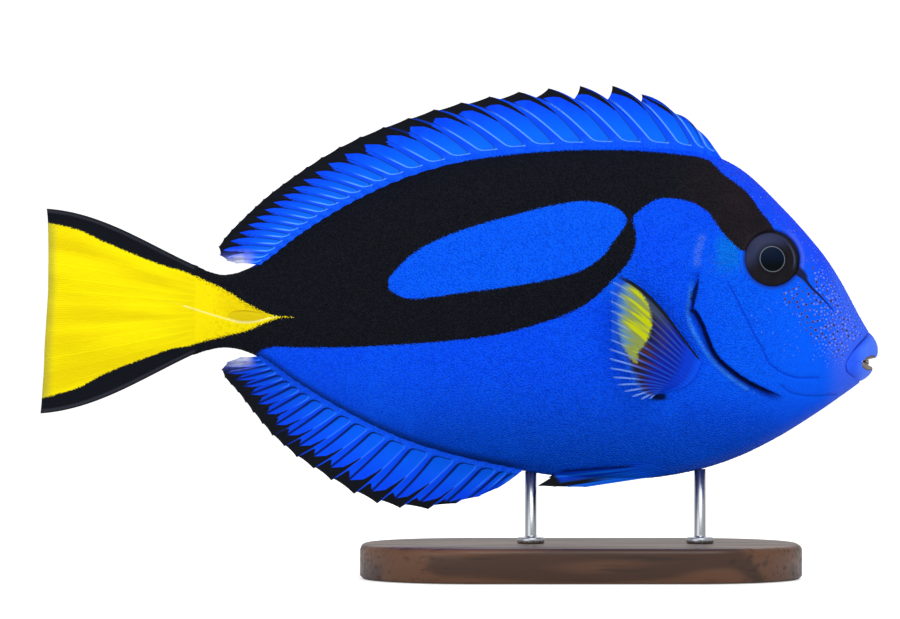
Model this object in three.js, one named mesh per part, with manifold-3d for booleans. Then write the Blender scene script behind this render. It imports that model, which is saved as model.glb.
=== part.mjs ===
// Regal blue tang (Paracanthurus hepatus), life size, held over a flat base by two short rods.
// Millimetres. +X is towards the snout, +Y is the fish's left side and +Z is up.
// The origin lies on the floor, under the middle of the fish's length.
import * as THREE from "three";
import Module from "manifold-3d";
import { mergeVertices } from "three/addons/utils/BufferGeometryUtils.js";

const wasm = await Module();
wasm.setup();

// Driving dimensions
const totalLength = 220;
const snoutX = totalLength / 2;
const stalkEndX = -70; // where the scaly tail stalk gives way to the tail fin
const gap = 0.3; // between pieces that touch
const bladeHalf = 0.28; // half the thickness of a fin's membrane at its margin
const webbedTo = 0.98; // the share of a ray's length that the membrane behind it reaches

// The body from tail stalk to snout:
// x, height of the back, height of the belly, half width, height of the widest point
const bodyStations = [
  [-70, 82.6, 58.4, 1.5, 70.6],
  [-66.5, 80.8, 59.6, 2.4, 70.3],
  [-62, 79.7, 60.4, 3.4, 70.2],
  [-57, 80.7, 59.7, 4.3, 70.3],
  [-51.5, 83.7, 57.2, 5.1, 70.6],
  [-41.8, 91.2, 50.4, 6.4, 71.2],
  [-28.7, 99.2, 42.7, 8.5, 71.8],
  [-15.5, 105.3, 36.4, 10.4, 72.3],
  [-2.4, 109.3, 32.2, 12.0, 72.8],
  [10.8, 111.7, 29.2, 13.2, 73.0],
  [23.9, 113.0, 26.9, 14.0, 73.0],
  [37.1, 113.5, 25.9, 14.4, 72.9],
  [50.3, 113.4, 26.1, 14.3, 72.5],
  [63.4, 112.1, 28.4, 13.8, 71.6],
  [73.9, 107.7, 31.9, 12.8, 70.2],
  [84.5, 98.0, 37.2, 11.2, 67.9],
  [95.0, 86.2, 43.8, 8.9, 64.6],
  [100.3, 78.3, 47.5, 7.2, 62.2],
  [105.5, 68.6, 51.3, 5.1, 59.8],
  [108.2, 64.0, 53.8, 3.9, 58.8],
  [109.5, 61.6, 55.6, 2.9, 58.6],
  [110.0, 60.2, 57.0, 2.0, 58.6],
];
const backSharpness = 1.3; // above 1 the section narrows towards the ridge of the back
const bellySharpness = 1.12;
const ringPoints = 28;

// The eye: a flattened globe, of which the part within seenRadius stands proud of the skin;
// its middle lies eyeDepth under the skin, and a low ring of skin that turns with the cheek runs round it
const eye = { x: 82.1, z: 83.7, seenRadius: 7.1, radius: 8.4, halfDepth: 3.6, forward: 12, up: 9 };
const eyeDepth = eye.halfDepth * Math.sqrt(1 - (eye.seenRadius / eye.radius) ** 2);
const rim = { radius: 8.1, roll: 1.35, sunk: 1.3, forward: 16, up: 14 };

// The mouth: its corner, the heights of the upper and lower edge of its opening at frontX, and its teeth
const mouth = { cornerX: 105.6, cornerZ: 57.7, frontX: 110, upperZ: 59.4, lowerZ: 54.9 };
const tooth = { count: 8, length: 0.85, radius: 0.28, gum: 0.36 };
const jaw = { arcX: 1.7, arcY: 2.6, centreX: 106.5, setBack: 0.6 }; // the curve on which the teeth stand

// The stand
const base = { x: 32, length: 116, width: 66, height: 9, bevel: 1.2, corner: 30 };
const rod = { radius: 1.5, sides: 16, frontX: 63.4, rearX: 18.9, foot: 3.6, footHeight: 1.6 };

const lerp = THREE.MathUtils.lerp;

// A smooth function through [x, value] pairs in order of x
function smoothThrough(pairs) {
  const slopes = pairs.map((_, i) => {
    const a = pairs[Math.max(i - 1, 0)];
    const b = pairs[Math.min(i + 1, pairs.length - 1)];
    return (b[1] - a[1]) / (b[0] - a[0]);
  });
  return (x) => {
    let i = 0;
    while (i < pairs.length - 2 && x > pairs[i + 1][0]) i++;
    const [x0, y0] = pairs[i];
    const [x1, y1] = pairs[i + 1];
    const span = x1 - x0;
    const t = Math.min(Math.max((x - x0) / span, 0), 1);
    const rise = t * t * (3 - 2 * t);
    const lead = t * (1 - t) * (1 - t) * span * slopes[i];
    const trail = t * t * (1 - t) * span * slopes[i + 1];
    return y0 + (y1 - y0) * rise + lead - trail;
  };
}

const column = (k) => smoothThrough(bodyStations.map((s) => [s[0], s[k]]));
const back = column(1);
const belly = column(2);
const halfWidth = column(3);
const widest = column(4);

// A point on the body's section at x:
// turn runs from -90 degrees at the belly through 0 at the left flank to 90 at the back
function sectionPoint(x, turn, grow = 0) {
  const middle = widest(x);
  const rise = Math.sin(turn);
  const reach = rise > 0 ? back(x) + grow - middle : middle - belly(x) + grow;
  const sharpness = rise > 0 ? backSharpness : bellySharpness;
  const across = (halfWidth(x) + grow) * Math.pow(Math.max(Math.cos(turn), 0), sharpness);
  return new THREE.Vector3(x, across, middle + reach * rise);
}

// Half the body's width at a place on its side
function flankAt(x, z, grow = 0) {
  const middle = widest(x);
  const above = z > middle;
  const reach = above ? back(x) + grow - middle : middle - belly(x) + grow;
  const rise = Math.min(Math.abs(z - middle) / reach, 1);
  const sharpness = above ? backSharpness : bellySharpness;
  return (halfWidth(x) + grow) * Math.pow(1 - rise * rise, sharpness / 2);
}

// Closed geometry from rings of points with the same count, each end closed by a fan
function loft(rings) {
  const count = rings[0].length;
  const points = rings.flat();
  const faces = [];
  rings.slice(1).forEach((_, r) => {
    for (let k = 0; k < count; k++) {
      const a = r * count + k;
      const b = r * count + ((k + 1) % count);
      faces.push(a, b, b + count, a, b + count, a + count);
    }
  });
  [0, rings.length - 1].forEach((r) => {
    const centre = points.length;
    points.push(rings[r].reduce((s, p) => s.add(p), new THREE.Vector3()).divideScalar(count));
    for (let k = 0; k < count; k++) {
      const a = r * count + k;
      const b = r * count + ((k + 1) % count);
      faces.push(...(r === 0 ? [centre, b, a] : [centre, a, b]));
    }
  });
  return geometryFrom(points, faces);
}

function geometryFrom(points, faces) {
  const geometry = new THREE.BufferGeometry().setFromPoints(points);
  geometry.setIndex(faces);
  return geometry;
}

// A closed geometry as a solid that can be joined and cut, turned right side out
function solid(geometry) {
  const bare = geometry.clone();
  bare.deleteAttribute("normal");
  bare.deleteAttribute("uv");
  const merged = mergeVertices(bare, 1e-4);
  const vertProperties = merged.attributes.position.array;
  const triVerts = new Uint32Array(merged.index.array);
  const made = new wasm.Manifold(new wasm.Mesh({ numProp: 3, vertProperties, triVerts }));
  if (made.volume() > 0) return made;
  const turned = triVerts.slice();
  for (let i = 0; i < turned.length; i += 3) {
    turned[i] = triVerts[i + 1];
    turned[i + 1] = triVerts[i];
  }
  return new wasm.Manifold(new wasm.Mesh({ numProp: 3, vertProperties, triVerts: turned }));
}

// Cuts leave scraps: only the largest closed surface is kept
function largest(made) {
  return made.decompose().reduce((a, b) => (b.volume() > a.volume() ? b : a));
}

const fish = new THREE.Group();

function addNode(name, made, colour, roughness = 0.5, metalness = 0) {
  const mesh = largest(made).getMesh();
  const geometry = new THREE.BufferGeometry();
  geometry.setAttribute("position", new THREE.BufferAttribute(mesh.vertProperties, 3));
  geometry.setIndex(new THREE.BufferAttribute(mesh.triVerts, 1));
  const finish = new THREE.MeshStandardMaterial({ color: colour, roughness, metalness });
  const node = new THREE.Mesh(geometry, finish);
  node.name = name;
  fish.add(node);
}

// The whole body as one closed form, grown outwards by a margin
function bodyForm(grow = 0) {
  const xs = [];
  for (let x = stalkEndX; x < 75; x += 5) xs.push(x);
  for (let x = 75; x < 104; x += 3.3) xs.push(x);
  for (let x = 104; x < 109; x += 1.2) xs.push(x);
  xs.push(109.2, 109.7, snoutX);
  const rings = xs.map((x, i) => {
    const shift = i === 0 ? -grow : i === xs.length - 1 ? grow : 0;
    return Array.from({ length: ringPoints }, (_, k) => {
      const turn = (k / ringPoints) * 2 * Math.PI - Math.PI / 2;
      const mirrored = turn > Math.PI / 2;
      const p = sectionPoint(x, mirrored ? Math.PI - turn : turn, grow);
      return new THREE.Vector3(x + shift, mirrored ? -p.y : p.y, p.z);
    });
  });
  return solid(loft(rings));
}

const wholeBody = bodyForm();

// A closed outline in the side view, as a slab across the whole fish
function slab(outline, y0 = -60, y1 = 60) {
  const shape = new THREE.Shape(outline.map(([x, z]) => new THREE.Vector2(x, z)));
  const slabGeometry = new THREE.ExtrudeGeometry(shape, { depth: y1 - y0, bevelEnabled: false });
  slabGeometry.rotateX(Math.PI / 2);
  slabGeometry.translate(0, y1, 0);
  return solid(slabGeometry);
}

// Points along a smooth line through a few given ones
function smoothLine(points, count) {
  const curve = new THREE.SplineCurve(points.map(([x, z]) => new THREE.Vector2(x, z)));
  return curve.getSpacedPoints(count).map((p) => [p.x, p.y]);
}

// The line moved sideways, to the left of its own direction
function shiftLine(line, distance) {
  return line.map(([x, z], i) => {
    const a = line[Math.max(i - 1, 0)];
    const b = line[Math.min(i + 1, line.length - 1)];
    const length = Math.hypot(b[0] - a[0], b[1] - a[1]);
    return [x - ((b[1] - a[1]) / length) * distance, z + ((b[0] - a[0]) / length) * distance];
  });
}

// Where head and trunk part: down from the nape, along the gill opening and forward under the throat
const gillLine = smoothLine(
  [
    [67.5, 122], [66.6, 112], [64.4, 90], [62.1, 76.2], [61.0, 69.2], [63.4, 62.5],
    [67.6, 56.6], [73.2, 51.9], [81, 48.2], [88.5, 43], [90, 30],
  ],
  22,
);
const aheadOfGill = slab([...gillLine, [130, 30], [130, 122]]);
const aheadOfGillWithGap = slab([...shiftLine(gillLine, -gap), [130, 30], [130, 122]]);

// Where trunk and tail stalk part
const stalkStartX = -46.5;
const behindStalkStart = slab([[-130, 30], [stalkStartX, 30], [stalkStartX, 122], [-130, 122]]);
const behindStalkWithGap = slab([[-130, 30], [stalkStartX + gap, 30], [stalkStartX + gap, 122], [-130, 122]]);

// A closed sheet from columns of point pairs, both faces split into triangles alike
function closedSheet(columns) {
  const across = columns[0].length;
  const total = columns.length * across;
  const cell = (c, r) => c * across + r;
  const faces = [];
  for (let c = 0; c < columns.length - 1; c++) {
    for (let r = 0; r < across - 1; r++) {
      const [a, b, d, e] = [cell(c, r), cell(c + 1, r), cell(c + 1, r + 1), cell(c, r + 1)];
      faces.push(a, b, d, a, d, e);
      faces.push(total + a, total + d, total + b, total + a, total + e, total + d);
    }
  }
  const border = [];
  const last = columns.length - 1;
  for (let c = 0; c < last; c++) border.push(cell(c, across - 1));
  for (let r = across - 1; r > 0; r--) border.push(cell(last, r));
  for (let c = last; c > 0; c--) border.push(cell(c, 0));
  for (let r = 0; r < across - 1; r++) border.push(cell(0, r));
  border.forEach((a, i) => {
    const b = border[(i + 1) % border.length];
    faces.push(a, b, total + b, a, total + b, total + a);
  });
  const pairs = columns.flat();
  return solid(geometryFrom([...pairs.map((q) => q[0]), ...pairs.map((q) => q[1])], faces));
}

// Gill covers: curved plates on the rear of each cheek, with their free edge raised over the gill opening
const cover = { rise: 0.6, frontRise: 0.15, depth: 1.3, steps: 12, bands: 3 };
const coverRear = smoothLine(
  [[63.9, 86.2], [62.1, 76.4], [61.0, 69.2], [63.4, 62.5], [67.6, 56.6], [73.2, 51.9], [78.4, 49.3]],
  cover.steps,
);
const coverFront = smoothLine(
  [[67.4, 87.2], [69.6, 77.5], [70.8, 68], [73.6, 60.6], [77.0, 54.6], [80.4, 49.9]],
  cover.steps,
);
function coverPlate(side, grow, rise, frontRise) {
  const columns = coverRear.map(([rx, rz], i) => {
    const [fx, fz] = coverFront[i];
    const length = Math.hypot(fx - rx, fz - rz);
    const end = i === 0 ? -1 : i === cover.steps ? 1 : 0;
    const [ax, az] = [((fx - rx) / length) * grow, ((fz - rz) / length) * grow];
    return Array.from({ length: cover.bands + 1 }, (_, band) => {
      const share = band / cover.bands;
      const x = lerp(rx - ax, fx + ax, share) + end * grow * 0.7;
      const z = lerp(rz - az, fz + az, share) - end * grow;
      const skin = flankAt(x, z);
      const outer = skin + lerp(rise, frontRise, share);
      return [outer, skin - cover.depth - grow].map((y) => new THREE.Vector3(x, side * y, z));
    });
  });
  return closedSheet(columns);
}

// Turns a form that faces +Y to face outwards, forward and up on one side of the head,
// and sinks it under the skin there
function setAtEye(geometry, side, { forward, up }, depth) {
  geometry.rotateX(THREE.MathUtils.degToRad(side * up));
  geometry.rotateZ(THREE.MathUtils.degToRad(side * -forward));
  geometry.translate(eye.x, side * (flankAt(eye.x, eye.z) - depth), eye.z);
  return solid(geometry);
}

// Eyes: flattened globes sunk in the head, each in a socket with a low rim
function eyeball(side, grow = 0) {
  const globe = new THREE.SphereGeometry(1, 18, 10);
  globe.rotateX(Math.PI / 2);
  globe.scale(eye.radius + grow, eye.halfDepth + grow, eye.radius + grow);
  return setAtEye(globe, side, eye, eyeDepth);
}

function eyeRim(side, grow = 0) {
  const ring = new THREE.TorusGeometry(rim.radius, rim.roll + grow, 6, 20);
  ring.rotateX(Math.PI / 2);
  return setAtEye(ring, side, rim, rim.sunk);
}

// A caudal spine: a lancet that lies folded in a groove on the side of the tail stalk, its point forward
const lancet = { rearX: -60.8, length: 12.5, z: 68.9, height: 1.6, depth: 1.1 };
function lancetForm(side, grow) {
  const rings = [];
  const steps = 6;
  for (let i = 0; i <= steps; i++) {
    const t = i / steps;
    const taper = Math.pow(1 - t, 0.8) * Math.min(1, 0.55 + t * 3) + 0.06;
    const x = lancet.rearX - grow + t * (lancet.length + 2 * grow);
    const y = flankAt(x, lancet.z) + 0.05;
    rings.push(
      Array.from({ length: 8 }, (_, k) => {
        const turn = (k / 8) * 2 * Math.PI;
        const across = (lancet.depth * taper + grow) * Math.cos(turn);
        const rise = (lancet.height * taper + grow) * Math.sin(turn);
        return new THREE.Vector3(x, side * (y + across), lancet.z + rise);
      }),
    );
  }
  return solid(loft(rings));
}

// Lips: the front of the snout, parted from the head by a crease and from each other by the mouth
const lipCrease = smoothLine(
  [
    [107.6, 70], [107.0, 65.2], [104.2, 62.0], [102.0, 59.2],
    [101.3, 56.6], [102.4, 53.9], [104.5, 51.0], [105.6, 46],
  ],
  22,
);
const lipRegion = slab([...lipCrease, [120, 46], [120, 70]]);
const lipRegionWithGap = slab([...shiftLine(lipCrease, -gap), [120, 46], [120, 70]]);
// The height of the opening's upper or lower edge at a place along it
function lipEdge(x, up) {
  const share = (x - mouth.cornerX) / (mouth.frontX - mouth.cornerX);
  return lerp(mouth.cornerZ + (up * gap) / 2, up > 0 ? mouth.upperZ : mouth.lowerZ, share);
}
const mouthOpening = slab([
  [120, lipEdge(120, 1)],
  [mouth.cornerX, mouth.cornerZ + gap / 2],
  [90, mouth.cornerZ + gap / 2],
  [90, mouth.cornerZ - gap / 2],
  [mouth.cornerX, mouth.cornerZ - gap / 2],
  [120, lipEdge(120, -1)],
]);
const lips = bodyForm(0.25).intersect(lipRegion).subtract(mouthOpening);

// A gum bar half sunk in the edge of one lip, following the curve of the jaw
const gumPoint = (angle, up) => {
  const x = jaw.centreX + jaw.arcX * Math.cos(angle) - (up > 0 ? 0 : jaw.setBack);
  return new THREE.Vector3(x, jaw.arcY * Math.sin(angle), lipEdge(x, up));
};
function gumBar(up, radius, reach) {
  const stops = sharesOf(9).map((share) => gumPoint((share * 2 - 1) * reach, up));
  const corners = sharesOf(7).slice(0, 6).map((share) => {
    const turn = share * 2 * Math.PI;
    return new THREE.Vector2(radius * Math.cos(turn), radius * Math.sin(turn));
  });
  const extrudePath = new THREE.CatmullRomCurve3(stops);
  const section = new THREE.Shape(corners);
  return solid(new THREE.ExtrudeGeometry(section, { steps: 10, extrudePath, bevelEnabled: false }));
}

// A short row of blunt teeth on its gum
function toothRow(up) {
  let row = gumBar(up, tooth.gum, 1.12);
  for (let i = 0; i < tooth.count; i++) {
    const foot = gumPoint(((i / (tooth.count - 1)) * 2 - 1) * 1.02, up);
    const crown = new THREE.CylinderGeometry(tooth.radius * 0.6, tooth.radius, tooth.length, 5);
    crown.rotateX(up > 0 ? -Math.PI / 2 : Math.PI / 2);
    crown.translate(foot.x, foot.y, foot.z - (up * tooth.length) / 2);
    row = row.add(solid(crown));
  }
  return row;
}

// A fin: rays run from root to tip, each a low ridge on a thin membrane. The membrane reaches nearly to
// a ray's tip on its rear side and only to a share of the ray, the notch, on its front side.
// Each ray gives its place at a share along it, its half width and its ridge;
// fit keeps the fin clear of the body, and turn is 1 where the rays follow each other
// anticlockwise in the side view, else -1.
function finForm(rays, { rows, membrane, rootHalf, notch, sway, fit, turn = 1 }) {
  const columns = rays.flatMap((ray, i) => [
    { ray, side: 1, end: i === 0 ? webbedTo : notch(i), crest: 0 },
    { ray, side: 0, end: 1, crest: 1 },
    { ray, side: -1, end: webbedTo, crest: 0 },
  ]);
  return closedSheet(
    columns.map(({ ray, side, end, crest }) =>
      Array.from({ length: rows + 1 }, (_, r) => {
        const t = (r / rows) * end;
        const p = ray.at(t);
        const ahead = ray.at(Math.min(t + 0.02, 1)).sub(ray.at(Math.max(t - 0.02, 0))).normalize();
        const width = ray.half * (1 - 0.55 * t) * side * turn;
        p.x += ahead.z * width;
        p.z -= ahead.x * width;
        p.y += sway(p.x, t);
        const fleshy = Math.max(0, 1 - t / 0.3);
        const flesh = membrane * (1 - 0.35 * t) + rootHalf * fleshy * fleshy;
        const half = flesh + crest * ray.ridge * (1 - 0.7 * t);
        fit(p, r === 0, half);
        return [half, -half].map((y) => new THREE.Vector3(p.x, p.y + y, p.z));
      }),
    ),
  );
}

// A ray from root to tip that bows sideways in the fin's own plane;
// bow is a share of its length, and late moves the bow towards the tip
function bowedRay(root, tip, { bow, late = 0, half, ridge }) {
  const chord = tip.clone().sub(root);
  const side = new THREE.Vector3(-chord.z, 0, chord.x);
  const swell = (t) => bow * 4 * t * (1 - t) * (1 + late * (2 * t - 1));
  const at = (t) => root.clone().addScaledVector(chord, t).addScaledVector(side, swell(t));
  return { at, half, ridge };
}

// Shares from 0 to 1 for a row of rays whose spacing follows a rule
function sharesOf(count, spacing = () => 1) {
  const steps = Array.from({ length: count - 1 }, (_, i) => spacing(i));
  const whole = steps.reduce((a, b) => a + b, 0);
  let sum = 0;
  return [0, ...steps.map((s) => (sum += s) / whole)];
}

const curveOf = (points) => new THREE.SplineCurve(points.map(([x, z]) => new THREE.Vector2(x, z)));
const at3 = (curve, share, y = 0) => {
  const p = curve.getPointAt(share);
  return new THREE.Vector3(p.x, y, p.y);
};

// Dorsal fin: 9 spines, then 20 soft rays whose spacing closes up towards the tail
const dorsal = { spines: 9, soft: 20, frontX: 67.4, rearX: -53 };
const dorsalMargin = curveOf([
  [62.4, 118.0], [56.8, 121.7], [49.5, 126.3], [42.1, 129.1], [33.7, 129.5], [17.6, 128.2], [2.6, 125.6],
  [-12.1, 121.5], [-31.3, 113.6], [-48.2, 102.4], [-58.7, 92.5], [-62.9, 86.6], [-61.2, 83.6],
]);
const dorsalCount = dorsal.spines + dorsal.soft;
const dorsalRootSpacing = smoothThrough([
  [0, 0.38], [1, 0.34], [2, 0.76], [3, 0.98], [9, 0.94], [12, 0.69], [15, 0.44], [28, 0.23],
]);
const dorsalTipSpacing = smoothThrough([
  [0, 0.8], [1, 1.1], [3, 1.05], [9, 1], [13, 0.7], [16, 0.42], [28, 0.28],
]);
const dorsalRootShares = sharesOf(dorsalCount, dorsalRootSpacing);
const dorsalTipShares = sharesOf(dorsalCount, dorsalTipSpacing);
const dorsalRays = dorsalRootShares.map((share, i) => {
  const x = lerp(dorsal.frontX, dorsal.rearX, share);
  const root = new THREE.Vector3(x, 0, back(x) + gap);
  const size = i < dorsal.spines ? { half: 0.62, ridge: 0.42 } : { half: 0.42, ridge: 0.3 };
  const bow = lerp(-0.135, -0.045, i / (dorsalCount - 1));
  return bowedRay(root, at3(dorsalMargin, dorsalTipShares[i]), { bow, late: 0.6, ...size });
});
const dorsalNotch = smoothThrough([
  [0, 0.9], [2, 0.8], [3, 0.68], [5, 0.7], [7, 0.78], [10, 0.84], [16, 0.92], [28, 0.95],
]);

// Anal fin: 3 spines and 18 soft rays
const anal = { spines: 3, soft: 18, frontX: 15.4, rearX: -50.5 };
const analMargin = curveOf([
  [14.6, 25.6], [9.8, 23.2], [5.6, 21.4], [-1.1, 19.1], [-8.7, 17.9], [-15.5, 18.0], [-24.6, 19.8],
  [-35.5, 25.2], [-45.8, 33.0], [-55.5, 43.0], [-61.6, 51.4], [-62.8, 54.8], [-60.2, 57.0],
]);
const analCount = anal.spines + anal.soft;
const analRootSpacing = smoothThrough([[0, 0.5], [2, 0.95], [5, 1], [9, 0.64], [20, 0.34]]);
const analTipSpacing = smoothThrough([[0, 0.6], [3, 1], [8, 1], [12, 0.62], [20, 0.36]]);
const analRootShares = sharesOf(analCount, analRootSpacing);
const analTipShares = sharesOf(analCount, analTipSpacing);
const analRays = analRootShares.map((share, i) => {
  const x = lerp(anal.frontX, anal.rearX, share);
  const root = new THREE.Vector3(x, 0, belly(x) - gap);
  const size = i < anal.spines ? { half: 0.55, ridge: 0.4 } : { half: 0.42, ridge: 0.3 };
  const bow = lerp(0.1, 0.04, i / (analCount - 1));
  return bowedRay(root, at3(analMargin, analTipShares[i]), { bow, ...size });
});
const analNotch = smoothThrough([[0, 0.85], [4, 0.88], [20, 0.95]]);

// Tail fin: 16 principal rays between an upper and a lower lobe
const tailRays = 16;
const tailMargin = curveOf([
  [-108.6, 97.0], [-108.2, 90], [-108.2, 78], [-108.9, 65], [-109.4, 55], [-110.2, 43.2],
]);
const tailRoot = curveOf([[stalkEndX - gap, 82.4], [stalkEndX - gap, 58.6]]);
const tailForm = Array.from({ length: tailRays }, (_, i) => {
  const share = i / (tailRays - 1);
  const outer = Math.abs(share - 0.5) * 2;
  const bow = Math.sign(share - 0.5) * 0.048 * Math.pow(outer, 2.2);
  const size = outer > 0.9 ? { half: 0.8, ridge: 0.55 } : { half: 0.5, ridge: 0.32 };
  return bowedRay(at3(tailRoot, share), at3(tailMargin, share), { bow, late: 0.5, ...size });
});

// Pectoral fins: a fan of 16 rays on each flank, held a little away from the body
const pectoral = { rays: 16, flare: 24, half: 0.36, ridge: 0.25, membrane: 0.26, rootHalf: 0.7 };
const pectoralMargin = curveOf([
  [45.6, 75.6], [42.2, 78.6], [39.6, 77.6], [38.2, 73.0], [37.5, 66.5],
  [37.9, 61.0], [39.2, 56.5], [41.4, 52.0], [45.0, 48.8], [48.6, 47.4],
]);
const pectoralRoot = curveOf([[60.2, 58.4], [58.6, 55.4], [55.9, 51.2], [53.0, 47.9]]);
function pectoralRays(side) {
  const outward = Math.tan(THREE.MathUtils.degToRad(pectoral.flare));
  const rootThickness = pectoral.membrane + pectoral.rootHalf + pectoral.ridge;
  return sharesOf(pectoral.rays).map((share) => {
    const root = at3(pectoralRoot, share);
    const tip = at3(pectoralMargin, share);
    const flat = bowedRay(root, tip, { ...pectoral, bow: 0.03 });
    const at = (t) => {
      const p = flat.at(t);
      const reach = Math.hypot(p.x - root.x, p.z - root.z);
      p.y = side * (flankAt(root.x, root.z) + gap + rootThickness + reach * outward * (1 - 0.012 * reach));
      return p;
    };
    return { ...flat, at };
  });
}

// Pelvic fins: a spine and 3 soft rays each, folded back along the belly
const pelvic = { rays: 4, half: 0.45, membrane: 0.3, rootHalf: 0.4, ridge: 0.3 };
const pelvicRoots = curveOf([[48.4, 26.4], [47.6, 27.3], [46.6, 28.6]]);
const pelvicTips = curveOf([[24.6, 24.0], [20.8, 24.4], [23.6, 26.6], [27.4, 29.2]]);
function pelvicRays(side) {
  return sharesOf(pelvic.rays).map((share) => {
    const flat = bowedRay(at3(pelvicRoots, share), at3(pelvicTips, share), { ...pelvic, bow: 0 });
    const at = (t) => {
      const p = flat.at(t);
      const skin = flankAt(p.x, Math.max(p.z, belly(p.x) + 0.4));
      p.y = side * (Math.max(skin, 1.6) + gap + 1.05);
      return p;
    };
    return { ...flat, at };
  });
}

// Stand: a bevelled oval-ended base and two rods, each with a low round foot
function baseForm() {
  const { length, width, height, bevel, corner } = base;
  const [hx, hy] = [length / 2 - bevel, width / 2 - bevel];
  const r = corner - bevel;
  const outline = new THREE.Shape();
  outline.absarc(hx - r, hy - r, r, 0, Math.PI / 2);
  outline.absarc(-hx + r, hy - r, r, Math.PI / 2, Math.PI);
  outline.absarc(-hx + r, -hy + r, r, Math.PI, 1.5 * Math.PI);
  outline.absarc(hx - r, -hy + r, r, 1.5 * Math.PI, 2 * Math.PI);
  const plate = new THREE.ExtrudeGeometry(outline, {
    depth: height - 2 * bevel, bevelThickness: bevel, bevelSize: bevel, bevelSegments: 1, curveSegments: 7,
  });
  plate.translate(base.x, 0, bevel);
  return solid(plate);
}

function rodForm(x) {
  const top = Math.min(belly(x - rod.radius), belly(x), belly(x + rod.radius)) - gap;
  const from = base.height + gap;
  const profile = [
    [0, from], [rod.foot, from], [rod.foot, from + rod.footHeight * 0.6],
    [rod.foot - 0.7, from + rod.footHeight], [rod.radius, from + rod.footHeight], [rod.radius, top], [0, top],
  ].map(([r, z]) => new THREE.Vector2(r, z));
  const turned = new THREE.LatheGeometry(profile, rod.sides);
  turned.rotateX(Math.PI / 2);
  turned.translate(x, 0, 0);
  return solid(turned);
}

// Colours
const blue = 0x0a4df0;
const black = 0x1b1c24;
const yellow = 0xffe60a;

// Head, trunk and tail stalk
const headRim = eyeRim(1).add(eyeRim(-1));
let head = wholeBody.intersect(aheadOfGill).add(headRim.intersect(aheadOfGill));
head = head.subtract(lipRegionWithGap);
[1, -1].forEach((side) => {
  head = head.subtract(coverPlate(side, gap, 3, 3)).subtract(eyeball(side, gap));
  [[91.0, 82.6, 0.75], [92.0, 81.0, 0.55]].forEach(([x, z, radius]) => {
    const nostril = new THREE.SphereGeometry(radius, 7, 5);
    nostril.translate(x, side * (flankAt(x, z) + 0.1), z);
    head = head.subtract(solid(nostril));
  });
});
addNode("head", head, blue);
const trunk = wholeBody.subtract(aheadOfGillWithGap).subtract(behindStalkWithGap);
addNode("torso", trunk, blue);
const lancets = { 1: lancetForm(1, 0), "-1": lancetForm(-1, 0) };
const stalk = wholeBody.intersect(behindStalkStart).subtract(lancetForm(1, gap)).subtract(lancetForm(-1, gap));
addNode("tail_stalk", stalk, black);

// Face pieces
[[1, "left"], [-1, "right"]].forEach(([side, name]) => {
  addNode("gill_cover_" + name, coverPlate(side, 0, cover.rise, cover.frontRise), blue);
  addNode("eye_" + name, eyeball(side), black, 0.1);
  addNode("caudal_spine_" + name, lancets[side], yellow, 0.4);
});
const aboveMouth = slab([[90, mouth.cornerZ], [130, mouth.cornerZ], [130, 90], [90, 90]]);
const gumRoom = (up) => gumBar(up, tooth.gum + gap * 1.15, 1.34);
addNode("lip_upper", lips.intersect(aboveMouth).subtract(gumRoom(1)), blue);
addNode("lip_lower", lips.subtract(aboveMouth).subtract(gumRoom(-1)), blue);
addNode("teeth_upper", toothRow(1), 0xd8d2c0, 0.3);
addNode("teeth_lower", toothRow(-1), 0xd8d2c0, 0.3);

// Fins
const slightWave = (x, t) => 0.5 * t * t * Math.sin(x / 9);
const tailBend = (x, t) => 1.6 * t * t;
const level = () => 0;
const thinFin = { rows: 4, membrane: bladeHalf, rootHalf: 0.9, sway: slightWave };
const overBack = (p, foot) => {
  const limit = back(p.x) + gap;
  p.z = foot ? limit : Math.max(p.z, limit);
};
const underBelly = (p, foot) => {
  const limit = belly(p.x) - gap;
  p.z = foot ? limit : Math.min(p.z, limit);
};
const behindStalk = (p, foot) => {
  const limit = stalkEndX - gap;
  p.x = foot ? limit : Math.min(p.x, limit);
};
const outsideFlank = (side) => (p, foot, half) => {
  p.y = side * Math.max(side * p.y, flankAt(p.x, p.z) + gap + half);
};
addNode("dorsal_fin", finForm(dorsalRays, { ...thinFin, notch: dorsalNotch, fit: overBack }), blue);
addNode("anal_fin", finForm(analRays, { ...thinFin, notch: analNotch, fit: underBelly, turn: -1 }), blue);
const tailShape = { ...thinFin, notch: () => webbedTo, sway: tailBend, fit: behindStalk };
addNode("tail_fin", finForm(tailForm, tailShape), yellow);
[[1, "left"], [-1, "right"]].forEach(([side, name]) => {
  const paired = { rows: 4, sway: level, fit: outsideFlank(side) };
  const fan = finForm(pectoralRays(side), { ...pectoral, ...paired, notch: () => 0.97 });
  addNode("pectoral_fin_" + name, fan, blue);
  const fold = finForm(pelvicRays(side), { ...pelvic, ...paired, notch: () => 0.95, turn: -1 });
  addNode("pelvic_fin_" + name, fold, blue);
});

// Stand
addNode("stand_base", baseForm(), 0x2a2320, 0.45);
addNode("stand_rod_front", rodForm(rod.frontX), 0xb8bcc2, 0.3, 1);
addNode("stand_rod_rear", rodForm(rod.rearX), 0xb8bcc2, 0.3, 1);

export default fish;
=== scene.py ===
# Regal blue tang on a display stand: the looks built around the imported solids.
# Sizes are in millimetres and become metres where a mesh is made. The snout points to +X, up is +Z.
import math

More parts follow.
